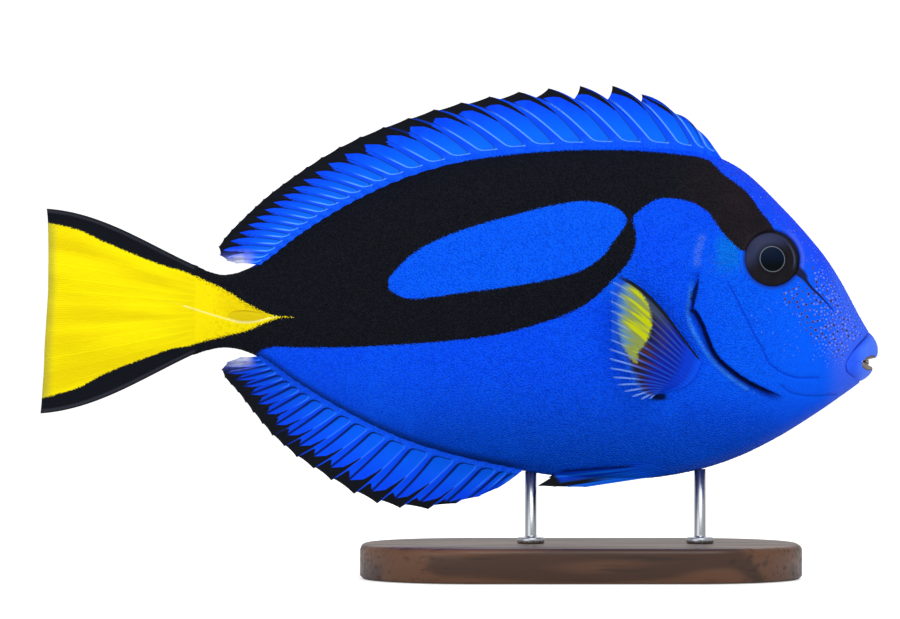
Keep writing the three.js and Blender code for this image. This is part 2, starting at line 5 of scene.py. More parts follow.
import bpy
import numpy as np
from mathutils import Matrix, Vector


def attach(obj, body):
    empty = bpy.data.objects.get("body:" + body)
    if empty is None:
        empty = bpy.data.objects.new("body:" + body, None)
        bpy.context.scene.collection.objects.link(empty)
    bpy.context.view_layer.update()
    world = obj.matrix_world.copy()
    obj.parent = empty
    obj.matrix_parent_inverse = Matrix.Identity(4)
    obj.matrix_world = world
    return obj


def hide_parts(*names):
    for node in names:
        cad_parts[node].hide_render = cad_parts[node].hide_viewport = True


mm = 0.001
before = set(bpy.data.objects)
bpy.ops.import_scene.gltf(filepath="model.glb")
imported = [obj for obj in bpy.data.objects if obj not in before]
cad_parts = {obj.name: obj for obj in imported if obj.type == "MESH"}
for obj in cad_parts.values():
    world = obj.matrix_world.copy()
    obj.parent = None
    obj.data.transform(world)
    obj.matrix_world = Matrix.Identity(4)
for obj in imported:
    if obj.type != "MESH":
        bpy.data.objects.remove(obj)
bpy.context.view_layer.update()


# A smooth function through (x, value) pairs in order of x
def smoothThrough(pairs):
    xs, ys = np.array(pairs, float).T
    slopes = np.empty_like(ys)
    slopes[1:-1] = (ys[2:] - ys[:-2]) / (xs[2:] - xs[:-2])
    slopes[0] = (ys[1] - ys[0]) / (xs[1] - xs[0])
    slopes[-1] = (ys[-1] - ys[-2]) / (xs[-1] - xs[-2])

    def value(x):
        x = np.asarray(x, float)
        i = np.clip(np.searchsorted(xs, x, side="left") - 1, 0, len(xs) - 2)
        span = xs[i + 1] - xs[i]
        t = np.clip((x - xs[i]) / span, 0, 1)
        rise = t * t * (3 - 2 * t)
        lead = t * (1 - t) ** 2 * span * slopes[i]
        trail = t * t * (1 - t) * span * slopes[i + 1]
        return ys[i] + (ys[i + 1] - ys[i]) * rise + lead - trail

    return value


# Points along a smooth curve through a few given ones
def curvePoints(points, steps=16, closed=False):
    p = np.array(points, float)
    n = len(p)
    index = np.arange(n if closed else n - 1)

    def pick(i):
        return p[i % n] if closed else p[np.clip(i, 0, n - 1)]

    p0, p1, p2, p3 = (pick(index + k)[:, None] for k in (-1, 0, 1, 2))
    t = (np.arange(steps) / steps)[None, :, None]
    v0, v1 = (p2 - p0) / 2, (p3 - p1) / 2
    bend = (2 * p1 - 2 * p2 + v0 + v1) * t**3 + (3 * p2 - 3 * p1 - 2 * v0 - v1) * t**2
    out = (bend + v0 * t + p1).reshape(-1, p.shape[1])
    return out if closed else np.vstack([out, p[-1:]])


# A curve as a function of the share of its length
def curveAt(points):
    line = curvePoints(points, 40)
    run = np.concatenate([[0], np.cumsum(np.linalg.norm(np.diff(line, axis=0), axis=1))])

    def at(share):
        where = np.asarray(share, float) * run[-1]
        return np.stack([np.interp(where, run, line[:, k]) for k in range(line.shape[1])], -1)

    return at


# Distance from places (x, z) to a line, and the side of it on which they lie (+1 left of its direction)
def lineDistance(line, x, z, closed=False):
    a = np.array(line, float)
    b = np.roll(a, -1, axis=0) if closed else a[1:]
    a = a if closed else a[:-1]
    best = np.full(np.shape(x), 1e9)
    side = np.ones(np.shape(x))
    for (ax, az), (bx, bz) in zip(a, b):
        dx, dz = bx - ax, bz - az
        t = np.clip(((x - ax) * dx + (z - az) * dz) / (dx * dx + dz * dz + 1e-12), 0, 1)
        px, pz = x - ax - t * dx, z - az - t * dz
        d = np.hypot(px, pz)
        nearer = d < best
        best = np.where(nearer, d, best)
        side = np.where(nearer, np.sign(dx * pz - dz * px), side)
    return best, side


# Distance to an open line with the sign of its side
def signedDistance(line, x, z):
    d, side = lineDistance(line, x, z)
    return d * side


# Distance to a closed outline, positive inside it
def insideBy(outline, x, z):
    ring = np.array(outline, float)
    d, _ = lineDistance(ring, x, z, closed=True)
    inside = np.zeros(np.shape(x), bool)
    for (ax, az), (bx, bz) in zip(ring, np.roll(ring, -1, axis=0)):
        if az == bz:
            continue
        crosses = (az > z) != (bz > z)
        inside ^= crosses & (x < (bx - ax) * (z - az) / (bz - az) + ax)
    return np.where(inside, d, -d)


def smoothStep(low, high, value):
    t = np.clip((value - low) / (high - low), 0, 1)
    return t * t * (3 - 2 * t)


def bell(distance, width):
    return np.exp(-((distance / width) ** 2))


# Meshes
def gridFaces(rows, cols, wrap=False):
    r, c = np.meshgrid(np.arange(rows - 1), np.arange(cols if wrap else cols - 1), indexing="ij")
    a, b = r * cols + c, r * cols + (c + 1) % cols
    return np.stack([a, b, b + cols, a + cols], -1).reshape(-1, 4)


# Rings of points closed by a fan at both ends
def tubeOf(rings, startPoint, endPoint):
    rows, cols = rings.shape[:2]
    faces = gridFaces(rows, cols, wrap=True).tolist()
    total, last = rows * cols, (rows - 1) * cols
    for k in range(cols):
        following = (k + 1) % cols
        faces.append([total, following, k])
        faces.append([total + 1, last + k, last + following])
    return np.vstack([rings.reshape(-1, 3), startPoint, endPoint]), faces


def meshObject(name, points, faces, material, values=None):
    points = np.asarray(points, float).reshape(-1, 3)
    mesh = bpy.data.meshes.new(name)
    mesh.from_pydata((points * mm).tolist(), [], [list(map(int, f)) for f in faces])
    if material:
        mesh.materials.append(material)
    mesh.polygons.foreach_set("use_smooth", np.full(len(mesh.polygons), True))
    for key, value in (values or {}).items():
        layer = mesh.attributes.new(key, "FLOAT", "POINT")
        layer.data.foreach_set("value", np.broadcast_to(value, len(points)).astype(np.float32))
    mesh.update()
    obj = bpy.data.objects.new(name, mesh)
    bpy.context.collection.objects.link(obj)
    return obj


# Faces of a closed form, turned so that its volume is positive
def outward(points, faces):
    p = np.asarray(points, float).reshape(-1, 3)
    volume = 0.0
    quads = np.array([f for f in faces if len(f) == 4])
    tris = np.array([f for f in faces if len(f) == 3])
    parts = [tris] if len(tris) else []
    if len(quads):
        parts += [quads[:, [0, 1, 2]], quads[:, [0, 2, 3]]]
    for t in parts:
        a, b, c = p[t[:, 0]], p[t[:, 1]], p[t[:, 2]]
        volume += np.einsum("ij,ij->i", a, np.cross(b, c)).sum()
    return faces if volume > 0 else [list(f)[::-1] for f in faces]


# A closed sheet from two grids of points that face each other
def sheetFaces(rows, cols):
    total = rows * cols
    front = gridFaces(rows, cols).tolist()
    rear = [[v + total for v in f][::-1] for f in front]
    edge = list(range(cols - 1))
    edge += [r * cols + cols - 1 for r in range(rows - 1)]
    edge += [(rows - 1) * cols + c for c in range(cols - 1, 0, -1)]
    edge += [r * cols for r in range(rows - 1, 0, -1)]
    rim = [[a, a + total, b + total, b] for a, b in zip(edge, edge[1:] + edge[:1])]
    return front + rear + rim


def bothFaces(middle, half):
    normalSide = np.zeros_like(middle)
    normalSide[..., 1] = half
    return np.concatenate([(middle + normalSide).reshape(-1, 3), (middle - normalSide).reshape(-1, 3)])


# Node trees: short words for the nodes that most of them use
class Nodes:
    def __init__(self, tree):
        self.tree = tree

    def node(self, kind, inputs=None, **settings):
        made = self.tree.nodes.new(kind)
        for key, value in settings.items():
            setattr(made, key, value)
        for key, value in (inputs or {}).items():
            self.link(value, made.inputs[key])
        return made

    def link(self, value, socket):
        if isinstance(value, bpy.types.NodeSocket):
            self.tree.links.new(value, socket)
        elif value is not None:
            isColour = socket.type == "RGBA" and isinstance(value, tuple) and len(value) == 3
            socket.default_value = (*value, 1) if isColour else value

    def attribute(self, name):
        return self.node("ShaderNodeAttribute", attribute_name=name).outputs["Fac"]

    def math(self, operation, a, b=0.5, c=0.5, clamp=False):
        made = self.node("ShaderNodeMath", operation=operation, use_clamp=clamp)
        for value, socket in zip((a, b, c), made.inputs):
            self.link(value, socket)
        return made.outputs[0]

    def add(self, a, b):
        return self.math("ADD", a, b)

    def times(self, *values):
        product = values[0]
        for value in values[1:]:
            product = self.math("MULTIPLY", product, value)
        return product

    def step(self, value, low, high, toLow=0.0, toHigh=1.0):
        made = self.node("ShaderNodeMapRange", interpolation_type="SMOOTHSTEP")
        for item, socket in zip((value, low, high, toLow, toHigh), made.inputs):
            self.link(item, socket)
        return made.outputs[0]

    # A soft line along the zero of a signed distance
    def line(self, distance, half, soft=0.5):
        return self.step(self.math("ABSOLUTE", distance), half * (1 + soft), half * (1 - soft))

    # Distance to the border of a region with a rounded corner, from the distances to its two sides
    def corner(self, a, b, radius):
        parts = []
        for value in (a, b):
            short = self.math("MAXIMUM", self.math("SUBTRACT", radius, value), 0.0)
            parts.append(self.math("MULTIPLY", short, short))
        return self.math("SUBTRACT", radius, self.math("SQRT", self.add(*parts)))

    def mix(self, share, a, b):
        made = self.node("ShaderNodeMix", data_type="RGBA")
        self.link(share, made.inputs["Factor"])
        for value, key in ((a, 6), (b, 7)):
            self.link(value, made.inputs[key])
        return made.outputs[2]

    # A tint laid over a colour, as strong as its masks multiplied
    def over(self, colour, tint, *masks):
        return self.mix(self.times(*masks), colour, srgb(*tint))

    # Object coordinates in metres, times a scale for each axis
    def place(self, scale=(1, 1, 1)):
        coords = self.node("ShaderNodeTexCoord").outputs["Object"]
        mapping = self.node("ShaderNodeMapping")
        mapping.inputs["Scale"].default_value = scale
        self.tree.links.new(coords, mapping.inputs["Vector"])
        return mapping.outputs[0]

    # Object coordinates in millimetres
    def xyz(self):
        return self.node("ShaderNodeSeparateXYZ", {0: self.place((1000, 1000, 1000))}).outputs

    def noise(self, scale, detail=2.0, stretch=(1, 1, 1), vector=None):
        made = self.node("ShaderNodeTexNoise",
                         {"Vector": vector or self.place(stretch), "Scale": scale, "Detail": detail})
        return made.outputs["Fac"]

    def cells(self, scale):
        return self.node("ShaderNodeTexVoronoi", {"Vector": self.place(), "Scale": scale}).outputs["Distance"]

    def grouped(self, tree, inputs):
        return self.node("ShaderNodeGroup", inputs, node_tree=tree).outputs

    # 1 inside a region whose edge wanders, from the signed distance to it
    def ragged(self, distance, raggedness, softness, **others):
        given = {"Distance": distance, "Raggedness": raggedness, "Softness": softness, **others}
        return self.grouped(raggedMask.tree, given)["Mask"]

    def bump(self, height, strength, distance):
        made = self.node("ShaderNodeBump", {"Strength": strength, "Distance": distance * mm, "Height": height})
        self.tree.links.new(made.outputs[0], self.surface.inputs["Normal"])

    def finish(self, colour, roughness, specular, **others):
        given = {"Base Color": colour, "Roughness": roughness, "Specular IOR Level": specular, **others}
        for key, value in given.items():
            self.link(value, self.surface.inputs[key])
        return self.material


def newMaterial(name):
    material = bpy.data.materials.new(name)
    material.use_nodes = True
    made = Nodes(material.node_tree)
    made.material = material
    made.surface = made.tree.nodes["Principled BSDF"]
    return made


# A node group with named inputs and outputs: (name, socket type, value) and (name, socket type)
def newGroup(name, kind, inputs, outputs):
    tree = bpy.data.node_groups.new(name, kind)
    for key, socketType, value in inputs:
        socket = tree.interface.new_socket(key, in_out="INPUT", socket_type=socketType)
        if value is not None:
            socket.default_value = value
    for key, socketType in outputs:
        tree.interface.new_socket(key, in_out="OUTPUT", socket_type=socketType)
    made = Nodes(tree)
    made.given = made.node("NodeGroupInput").outputs
    made.result = made.node("NodeGroupOutput").inputs
    return made


def srgb(r, g, b):
    c = np.array([r, g, b]) / 255
    return tuple(float(v) for v in np.where(c <= 0.04045, c / 12.92, ((c + 0.055) / 1.055) ** 2.4))


colours = {
    "blue": srgb(0, 80, 252), "cheek": srgb(0, 96, 255), "forehead": srgb(28, 74, 252),
    # belly: a darker blue, partly the belly's own colour and partly painted shade under the body
    "belly": srgb(0, 74, 206), "black": srgb(15, 18, 26), "yellow": srgb(246, 226, 0),
    # pit: painted shade in the holes of the pores; pitRim and papilla are colours of their own
    "pit": srgb(30, 32, 66), "pitRim": srgb(98, 94, 142), "papilla": srgb(120, 148, 246),
}

# Effects that several materials share
raggedMask = newGroup(
    "ragged edge", "ShaderNodeTree",
    [("Distance", "NodeSocketFloat", 0.0), ("Raggedness", "NodeSocketFloat", 1.0),
     ("Softness", "NodeSocketFloat", 0.2), ("Scale", "NodeSocketFloat", 2600.0)],
    [("Mask", "NodeSocketFloat")],
)
wander = raggedMask.math("SUBTRACT", raggedMask.noise(raggedMask.given["Scale"], 2), 0.5)
wander = raggedMask.add(raggedMask.times(wander, raggedMask.given["Raggedness"]), raggedMask.given["Distance"])
softEdge = raggedMask.given["Softness"]
raggedMask.link(raggedMask.step(wander, raggedMask.times(softEdge, -1.0), softEdge), raggedMask.result["Mask"])

# The blues of head and trunk, which the lips share, with painted shade darkening the belly
bodyBlue = newGroup(
    "body blue", "ShaderNodeTree", [("Mottle", "NodeSocketFloat", 0.3)],
    [("Blue", "NodeSocketColor"), ("Grain", "NodeSocketFloat")],
)


def fillBodyBlue(s):
    x, y, z = s.xyz()
    grain = s.noise(2400, 2)
    patches = s.noise(70, 3)
    # painted shade: darker and greener towards the belly, partly the belly's own colour and partly shade under
    # the body
    blue = s.mix(s.step(z, 60, 30), colours["blue"], colours["belly"])
    blue = s.mix(s.times(s.step(x, 52, 74), s.step(z, 40, 54), s.step(z, 96, 84)), blue, colours["cheek"])
    blue = s.over(blue, (0, 94, 255), s.step(x, 48, 40), s.step(x, -30, -10, 0.5, 1.0), s.step(z, 71, 76))
    blue = s.mix(s.step(s.math("MULTIPLY_ADD", z, 0.9, x), 158, 174), blue, colours["forehead"])
    blue = s.over(blue, (62, 104, 246), s.step(x, 95, 101, 0, 0.85))
    blue = s.mix(s.times(s.step(patches, 0.45, 0.75), 0.35), blue, colours["cheek"])
    blue = s.over(blue, (0, 50, 214), s.step(grain, 0.35, 0.7), s.given["Mottle"])
    s.link(blue, s.result["Blue"])
    s.link(grain, s.result["Grain"])


fillBodyBlue(bodyBlue)

# The body, from tail stalk to snout: x, back, belly, half width, height of the widest point
bodyStations = [
    (-70, 82.6, 58.4, 1.5, 70.6), (-66.5, 80.8, 59.6, 2.4, 70.3), (-62, 79.7, 60.4, 3.4, 70.2),
    (-57, 80.7, 59.7, 4.3, 70.3), (-51.5, 83.7, 57.2, 5.1, 70.6), (-41.8, 91.2, 50.4, 6.4, 71.2),
    (-28.7, 99.2, 42.7, 8.5, 71.8), (-15.5, 105.3, 36.4, 10.4, 72.3), (-2.4, 109.3, 32.2, 12.0, 72.8),
    (10.8, 111.7, 29.2, 13.2, 73.0), (23.9, 113.0, 26.9, 14.0, 73.0), (37.1, 113.5, 25.9, 14.4, 72.9),
    (50.3, 113.4, 26.1, 14.3, 72.5), (63.4, 112.1, 28.4, 13.8, 71.6), (73.9, 107.7, 31.9, 12.8, 70.2),
    (84.5, 98.0, 37.2, 11.2, 67.9), (95.0, 86.2, 43.8, 8.9, 64.6), (100.3, 78.3, 47.5, 7.2, 62.2),
    (105.5, 68.6, 51.3, 5.1, 59.8), (108.2, 64.0, 53.8, 3.9, 58.8), (109.5, 61.6, 55.6, 2.9, 58.6),
    (110.0, 60.2, 57.0, 2.0, 58.6),
]
back, belly, halfWidth, widest = (smoothThrough([(s[0], s[k]) for s in bodyStations]) for k in (1, 2, 3, 4))
backSharpness, bellySharpness = 1.3, 1.12


# The distance from the middle plane to the skin at a place on the side
def flankAt(x, z, grow=0.0):
    middle = widest(x)
    above = z > middle
    reach = np.where(above, back(x) + grow - middle, middle - belly(x) + grow)
    rise = np.clip(np.abs(z - middle) / reach, 0, 1)
    sharpness = np.where(above, backSharpness, bellySharpness)
    return (halfWidth(x) + grow) * (1 - rise * rise) ** (sharpness / 2)


eye = {
    "x": 81.8, "z": 83.7, "seenRadius": 7.05, "radius": 8.4, "halfDepth": 3.6, "forward": 12, "up": 9,
    "rings": 44, "around": 72, "pastSide": 1.15, "pupil": 3.2, "glint": 6.3,
}

# Markings, as outlines in the side view
blackBand = curvePoints([
    (-53.7, 81.9), (-41.8, 90.9), (-28.7, 99.1), (-15.5, 105.1), (-2.4, 108.8), (10.8, 110.9), (23.9, 112.1),
    (37.1, 112.5), (47.6, 112.2), (58.2, 111.2), (65.3, 109.8), (69.5, 105.9), (75.3, 101.4), (78.9, 96.4),
    (82.6, 91.2), (81.5, 86.0), (74.7, 85.6), (70.9, 88.3), (67.4, 92.5), (65.5, 95.4), (63.2, 97.2),
    (60.8, 98.5), (56.6, 99.4), (51.8, 99.3), (47.6, 96.7), (45.5, 94.3), (46.2, 89.2), (44.9, 84.1),
    (41.6, 79.8), (35.0, 73.3), (29.2, 69.8), (21.3, 66.9), (10.8, 64.1), (-2.4, 62.3), (-15.5, 61.3),
    (-28.7, 60.6), (-41.8, 60.5), (-50.0, 60.4), (-56.0, 57.0), (-64.0, 52.0), (-90.0, 52.0), (-90.0, 92.0),
    (-62.0, 84.0),
], 6, closed=True)
blueOval = curvePoints([
    (43.7, 93.6), (40.7, 97.2), (33.2, 98.8), (23.7, 97.5), (12.4, 94.6), (0.0, 90.9), (-10.8, 85.9),
    (-17.4, 79.8), (-18.4, 77.5), (-17.4, 75.1), (-11.8, 73.3), (0.3, 74.8), (15.8, 76.9), (29.5, 79.8),
    (36.4, 83.5), (40.3, 88.3),
], 8, closed=True)
yellowWedge = np.vstack([
    curvePoints([(-116, 94.2), (-108.2, 93.3), (-100.4, 91.5), (-93.9, 88.5), (-85.3, 84.9), (-77.3, 81.9),
                 (-72.2, 80.4), (-62.2, 76.1), (-55.1, 71.8), (-48.4, 68.9), (-43.4, 68.6)], 6),
    curvePoints([(-43.2, 68.4), (-48.2, 68.0), (-56.1, 64.8), (-65.2, 62.6), (-71.7, 60.8), (-75.3, 60.3),
                 (-83.3, 57.5), (-92.9, 53.8), (-100.4, 49.9), (-109.5, 47.2), (-116, 45.5)], 6),
])

# Lines of the face and of the tail stalk, in the side view
gillUpper = [(62.5, 81.0), (62.4, 78.5), (62.1, 75.6), (61.4, 72.7), (61.0, 70.6)]
gillLower = [(61.8, 70.1), (63.7, 66.7), (64.8, 63.9), (66.5, 59.9), (68.4, 57.4), (72.2, 54.2), (75.7, 51.9),
             (80.3, 49.6), (84.2, 47.9)]
gillSlit = curvePoints(gillUpper + gillLower)
shoulderRidge = curvePoints([(60.7, 78.0), (60.0, 73.0), (59.6, 69.6), (60.6, 65.6), (63.1, 61.3), (66.2, 57.2),
                             (70.9, 52.8), (75.0, 50.0)])
cheekCrease = curvePoints([(69.1, 79.1), (72.2, 73.5), (76.8, 64.4), (79.1, 60.4), (81.3, 56.2), (87.1, 53.0),
                           (93.9, 52.7)])
throatCrease = curvePoints([(84.2, 50.7), (87.1, 48.7), (92.1, 47.9), (98.9, 48.2)])
noseGroove = curvePoints([(88.4, 80.6), (89.9, 79.1), (92.2, 76.2), (95.1, 73.4), (97.9, 70.3)])
grooveHalf = smoothThrough([(69.0, 0.1), (72.0, 0.2), (76.0, 0.42), (78.2, 0.65), (79.6, 1.5), (81.5, 1.7)])
lipCrease = curvePoints([(107.6, 70), (107.0, 65.2), (104.2, 62.0), (102.0, 59.2), (101.3, 56.6), (102.4, 53.9),
                         (104.5, 51.0), (105.6, 46)])
poreArea = curvePoints([(81.3, 76.7), (89.7, 78.6), (92.9, 83.0), (96.6, 79.6), (101.6, 71.7), (106.1, 63.8),
                        (105.0, 59.3), (99.7, 58.3), (93.7, 61.2), (88.4, 67.7), (83.9, 73.0)], 6, closed=True)
browStroke = curvePoints([(62.0, 82.6), (62.3, 85.6), (63.4, 89.2)])
spineLine = curvePoints([(-72.1, 71.4), (-63.0, 68.6), (-56.1, 67.0), (-48.2, 68.6)])


# Heights and widths of the relief on the skin
reliefSizes = {
    "cover": 0.35, "coverLow": 0.3, "coverFade": 6.0, "dip": 0.75, "dipLow": 0.35, "dipReach": 1.1,
    "dipReachLow": 1.3, "shoulder": 0.4, "shoulderWide": 0.9, "cheek": 0.2, "cheekWide": 0.55, "throat": 0.25,
    "throatWide": 0.5, "groove": 0.4, "grooveWide": 0.2, "brow": 0.35, "browWide": 1.3,
    "eyeRim": 0.5, "eyeRimRadius": 7.9, "eyeRimWide": 0.9, "socket": 2.2,
}


# How far the skin stands out of the plain body at places on its side
def relief(x, z):
    r = reliefSizes
    signed = signedDistance(gillSlit, x, z)  # positive ahead of the slit
    fade = smoothStep(83.0, 78.5, z) * smoothStep(86.0, 80.0, x)
    lower = smoothStep(72.0, 68.0, z)
    reach = r["dipReach"] + r["dipReachLow"] * lower
    dip = np.clip(1 + signed / reach, 0, 1) * (signed < 0)
    tall = r["cover"] + r["coverLow"] * lower
    cover = tall * smoothStep(0, 0.5, signed) * np.exp(-np.maximum(signed, 0) / r["coverFade"])
    height = fade * (cover - (r["dip"] + r["dipLow"] * lower) * dip**1.3)
    ridge = bell(lineDistance(shoulderRidge, x, z)[0], r["shoulderWide"])
    height = height + r["shoulder"] * ridge * smoothStep(80, 75, z)
    crease = bell(lineDistance(cheekCrease, x, z)[0], r["cheekWide"])
    height = height - r["cheek"] * crease * smoothStep(80.5, 76, z)
    height = height - r["throat"] * bell(lineDistance(throatCrease, x, z)[0], r["throatWide"])
    groove = lineDistance(noseGroove, x, z)[0]
    height = height - r["groove"] * bell(groove, r["grooveWide"] + grooveHalf(np.clip(z, 69, 81)))
    height = height + r["brow"] * bell(lineDistance(browStroke, x, z)[0], r["browWide"])
    fromEye = np.hypot(x - eye["x"], z - eye["z"])
    height = height + r["eyeRim"] * bell(fromEye - r["eyeRimRadius"], r["eyeRimWide"])
    return height - r["socket"] * smoothStep(7.5, 6.2, fromEye)


# The skin of head, trunk and tail stalk, closed under the lips at the front
skinSizes = {
    "around": 360, "headRows": 158, "trunkRows": 74, "stalkRows": 24, "capRows": 8, "headX": 58.0,
    "stalkX": -46.0, "tailX": -70.6, "frontX": 107.0, "reshapeX": 92.0, "overlap": 0.9, "throatX": 104.4,
    "throatZ": 57.6, "coat": 0.08, "rimTries": (99, 108.5, 240),
}
# The lines along the body are spread evenly round a typical section, of these half sizes
typicalSection = {"halfHeight": 42, "halfWidth": 14, "sharpness": 1.2}
fineTurns = np.linspace(-np.pi / 2, np.pi / 2, 2001)
turnRise = typicalSection["halfHeight"] * np.sin(fineTurns)
turnWidth = typicalSection["halfWidth"] * np.maximum(np.cos(fineTurns), 0) ** typicalSection["sharpness"]
turnRun = np.hypot(np.gradient(turnRise), np.gradient(turnWidth))
turnShares = np.concatenate([[0], np.cumsum(turnRun[1:])])
turnShares /= turnShares[-1]


def sectionPoint(x, turn, grow=0.0):
    rise = np.sin(turn)
    middle = widest(x)
    reach = np.where(rise > 0, back(x) - middle, middle - belly(x)) + grow
    sharpness = np.where(rise > 0, backSharpness, bellySharpness)
    across = (halfWidth(x) + grow) * np.maximum(np.cos(turn), 0) ** sharpness
    return across, middle + reach * rise


# What the materials read at each place of the skin, most of it as signed distances in millimetres
def skinMarks(x, z, across, side):
    fromEye = np.hypot(x - eye["x"], z - eye["z"])
    slit = signedDistance(gillSlit, x, z)
    yellow = insideBy(yellowWedge, x, z)
    lips = signedDistance(lipCrease, x, z)
    bare = smoothStep(7.9, 8.6, fromEye) * smoothStep(0.3, 0.9, np.abs(slit + 0.5) + 5 * smoothStep(78, 84, z))
    coat = bare * smoothStep(104, 99, x) * smoothStep(-69.5, -68.5, x) * smoothStep(0.9, 0.3, yellow)
    black = np.minimum(insideBy(blackBand, x, z), -insideBy(blueOval, x, z))
    groove = signedDistance(noseGroove, x, z) / grooveHalf(np.clip(z, 69, 81)) + 9 * smoothStep(67.5, 66.5, z)
    clear = (fromEye > 8.9) * (black < -0.5) * (np.abs(groove) > 1.6) * (lips < -0.35)
    marks = {
        "black": black,
        "yellow": yellow,
        "slit": slit,
        "slitFade": smoothStep(82.0, 77.0, z) * smoothStep(86.0, 80.0, x),
        "ridge": signedDistance(shoulderRidge, x, z),
        "cheekLine": signedDistance(cheekCrease, x, z),
        "throatLine": signedDistance(throatCrease, x, z),
        "groove": groove,
        "brow": lineDistance(browStroke, x, z)[0],
        "spineLine": signedDistance(spineLine, x, z),
        "fromEye": fromEye,
        "coatGirth": 1 - 0.45 * smoothStep(76, 92, x) - 0.15 * smoothStep(20, 3, across),
        "pores": clear * np.maximum(smoothStep(-1.6, 1.2, insideBy(poreArea, x, z)), np.maximum(
            0.8 * smoothStep(7.0, 3.0, np.hypot(x - 70.5, z - 84.5)),
            0.6 * smoothStep(12, 8, back(x) - z) * smoothStep(64, 70, x) * smoothStep(99, 95, x))),
        "poreGirth": 0.33 + 0.34 * smoothStep(-1.6, 3.0, insideBy(poreArea, x, z)),
        "papillae": clear * np.maximum(
            smoothStep(89, 97, x) * smoothStep(54, 58, z),
            0.22 * smoothStep(74, 84, x) * smoothStep(54, 60, z)),
        "keel": z - belly(x),
        "slitWide": np.where(z > 70.4, 1.8 * bell(z - 74.6, 2.9), 1.15) * smoothStep(86, 76, x),
    }
    for k, half in enumerate((side > 0, side <= 0)):
        marks["coat%d" % (2 * k)] = coat * half * (x <= 24)
        marks["coat%d" % (2 * k + 1)] = coat * half * (x > 24)
    return marks


def makeSkin(material):
    s = skinSizes
    share = np.arange(s["around"]) / s["around"] * 2
    folded = np.interp(np.minimum(share, 2 - share), turnShares, fineTurns)
    side = np.where(share > 1, -1.0, 1.0)[None, :]
    # where each line along the body meets the crease behind the lips
    tries = np.linspace(*s["rimTries"])[:, None]
    _, z = sectionPoint(tries, folded[None, :])
    met = tries > np.interp(-z, -lipCrease[:, 1], lipCrease[:, 0]) + s["overlap"]
    rimX = tries[np.where(met.any(0), met.argmax(0), len(tries) - 1), 0]
    rimX = (np.roll(rimX, 1) + 2 * rimX + np.roll(rimX, -1)) / 4
    rowX = np.concatenate([
        np.linspace(s["tailX"], s["stalkX"], s["stalkRows"], endpoint=False),
        np.linspace(s["stalkX"], s["headX"], s["trunkRows"], endpoint=False),
        np.linspace(s["headX"], s["frontX"], s["headRows"]),
    ])
    x = np.repeat(rowX[:, None], s["around"], 1)
    ahead = (x - s["reshapeX"]) / (s["frontX"] - s["reshapeX"])
    x = np.where(ahead > 0, s["reshapeX"] + ahead * (rimX[None, :] - s["reshapeX"]), x)
    across, z = sectionPoint(np.maximum(x, bodyStations[0][0]), folded[None, :], -s["coat"])
    lift = relief(x, z) * smoothStep(0.0, 3.0, across)
    points = np.stack([x, across * side, z], -1)
    normal = np.cross(np.gradient(points, axis=0), np.roll(points, -1, 1) - np.roll(points, 1, 1))
    normal /= np.linalg.norm(normal, axis=-1, keepdims=True) + 1e-9
    points = points + normal * np.sign((normal[..., 1] * side).sum()) * lift[..., None]
    # the front closes inside the mouth
    centre = np.array([s["throatX"], 0, s["throatZ"]])
    pulls = 1 - np.cos(np.arange(1, s["capRows"]) / s["capRows"] * np.pi / 2) ** 0.8
    cap = points[-1] + (centre - points[-1]) * pulls[:, None, None]
    rows = len(rowX)
    rings = np.concatenate([points, cap])
    flat, faces = tubeOf(rings, rings[0].mean(0), centre)
    sides = np.append(np.tile(side[0], len(rings)), [1, 1])
    marks = skinMarks(flat[:, 0], flat[:, 2], np.abs(flat[:, 1]), sides)
    inMouth = np.zeros(len(flat))
    inMouth[rows * s["around"]:-2] = inMouth[-1] = 1
    for key in ("pores", "papillae", "coat0", "coat1", "coat2", "coat3"):
        marks[key] = marks[key] * (1 - inMouth)
    return meshObject("skin", flat, outward(flat, faces), material, {**marks, "inMouth": inMouth, "tone": 0.0})


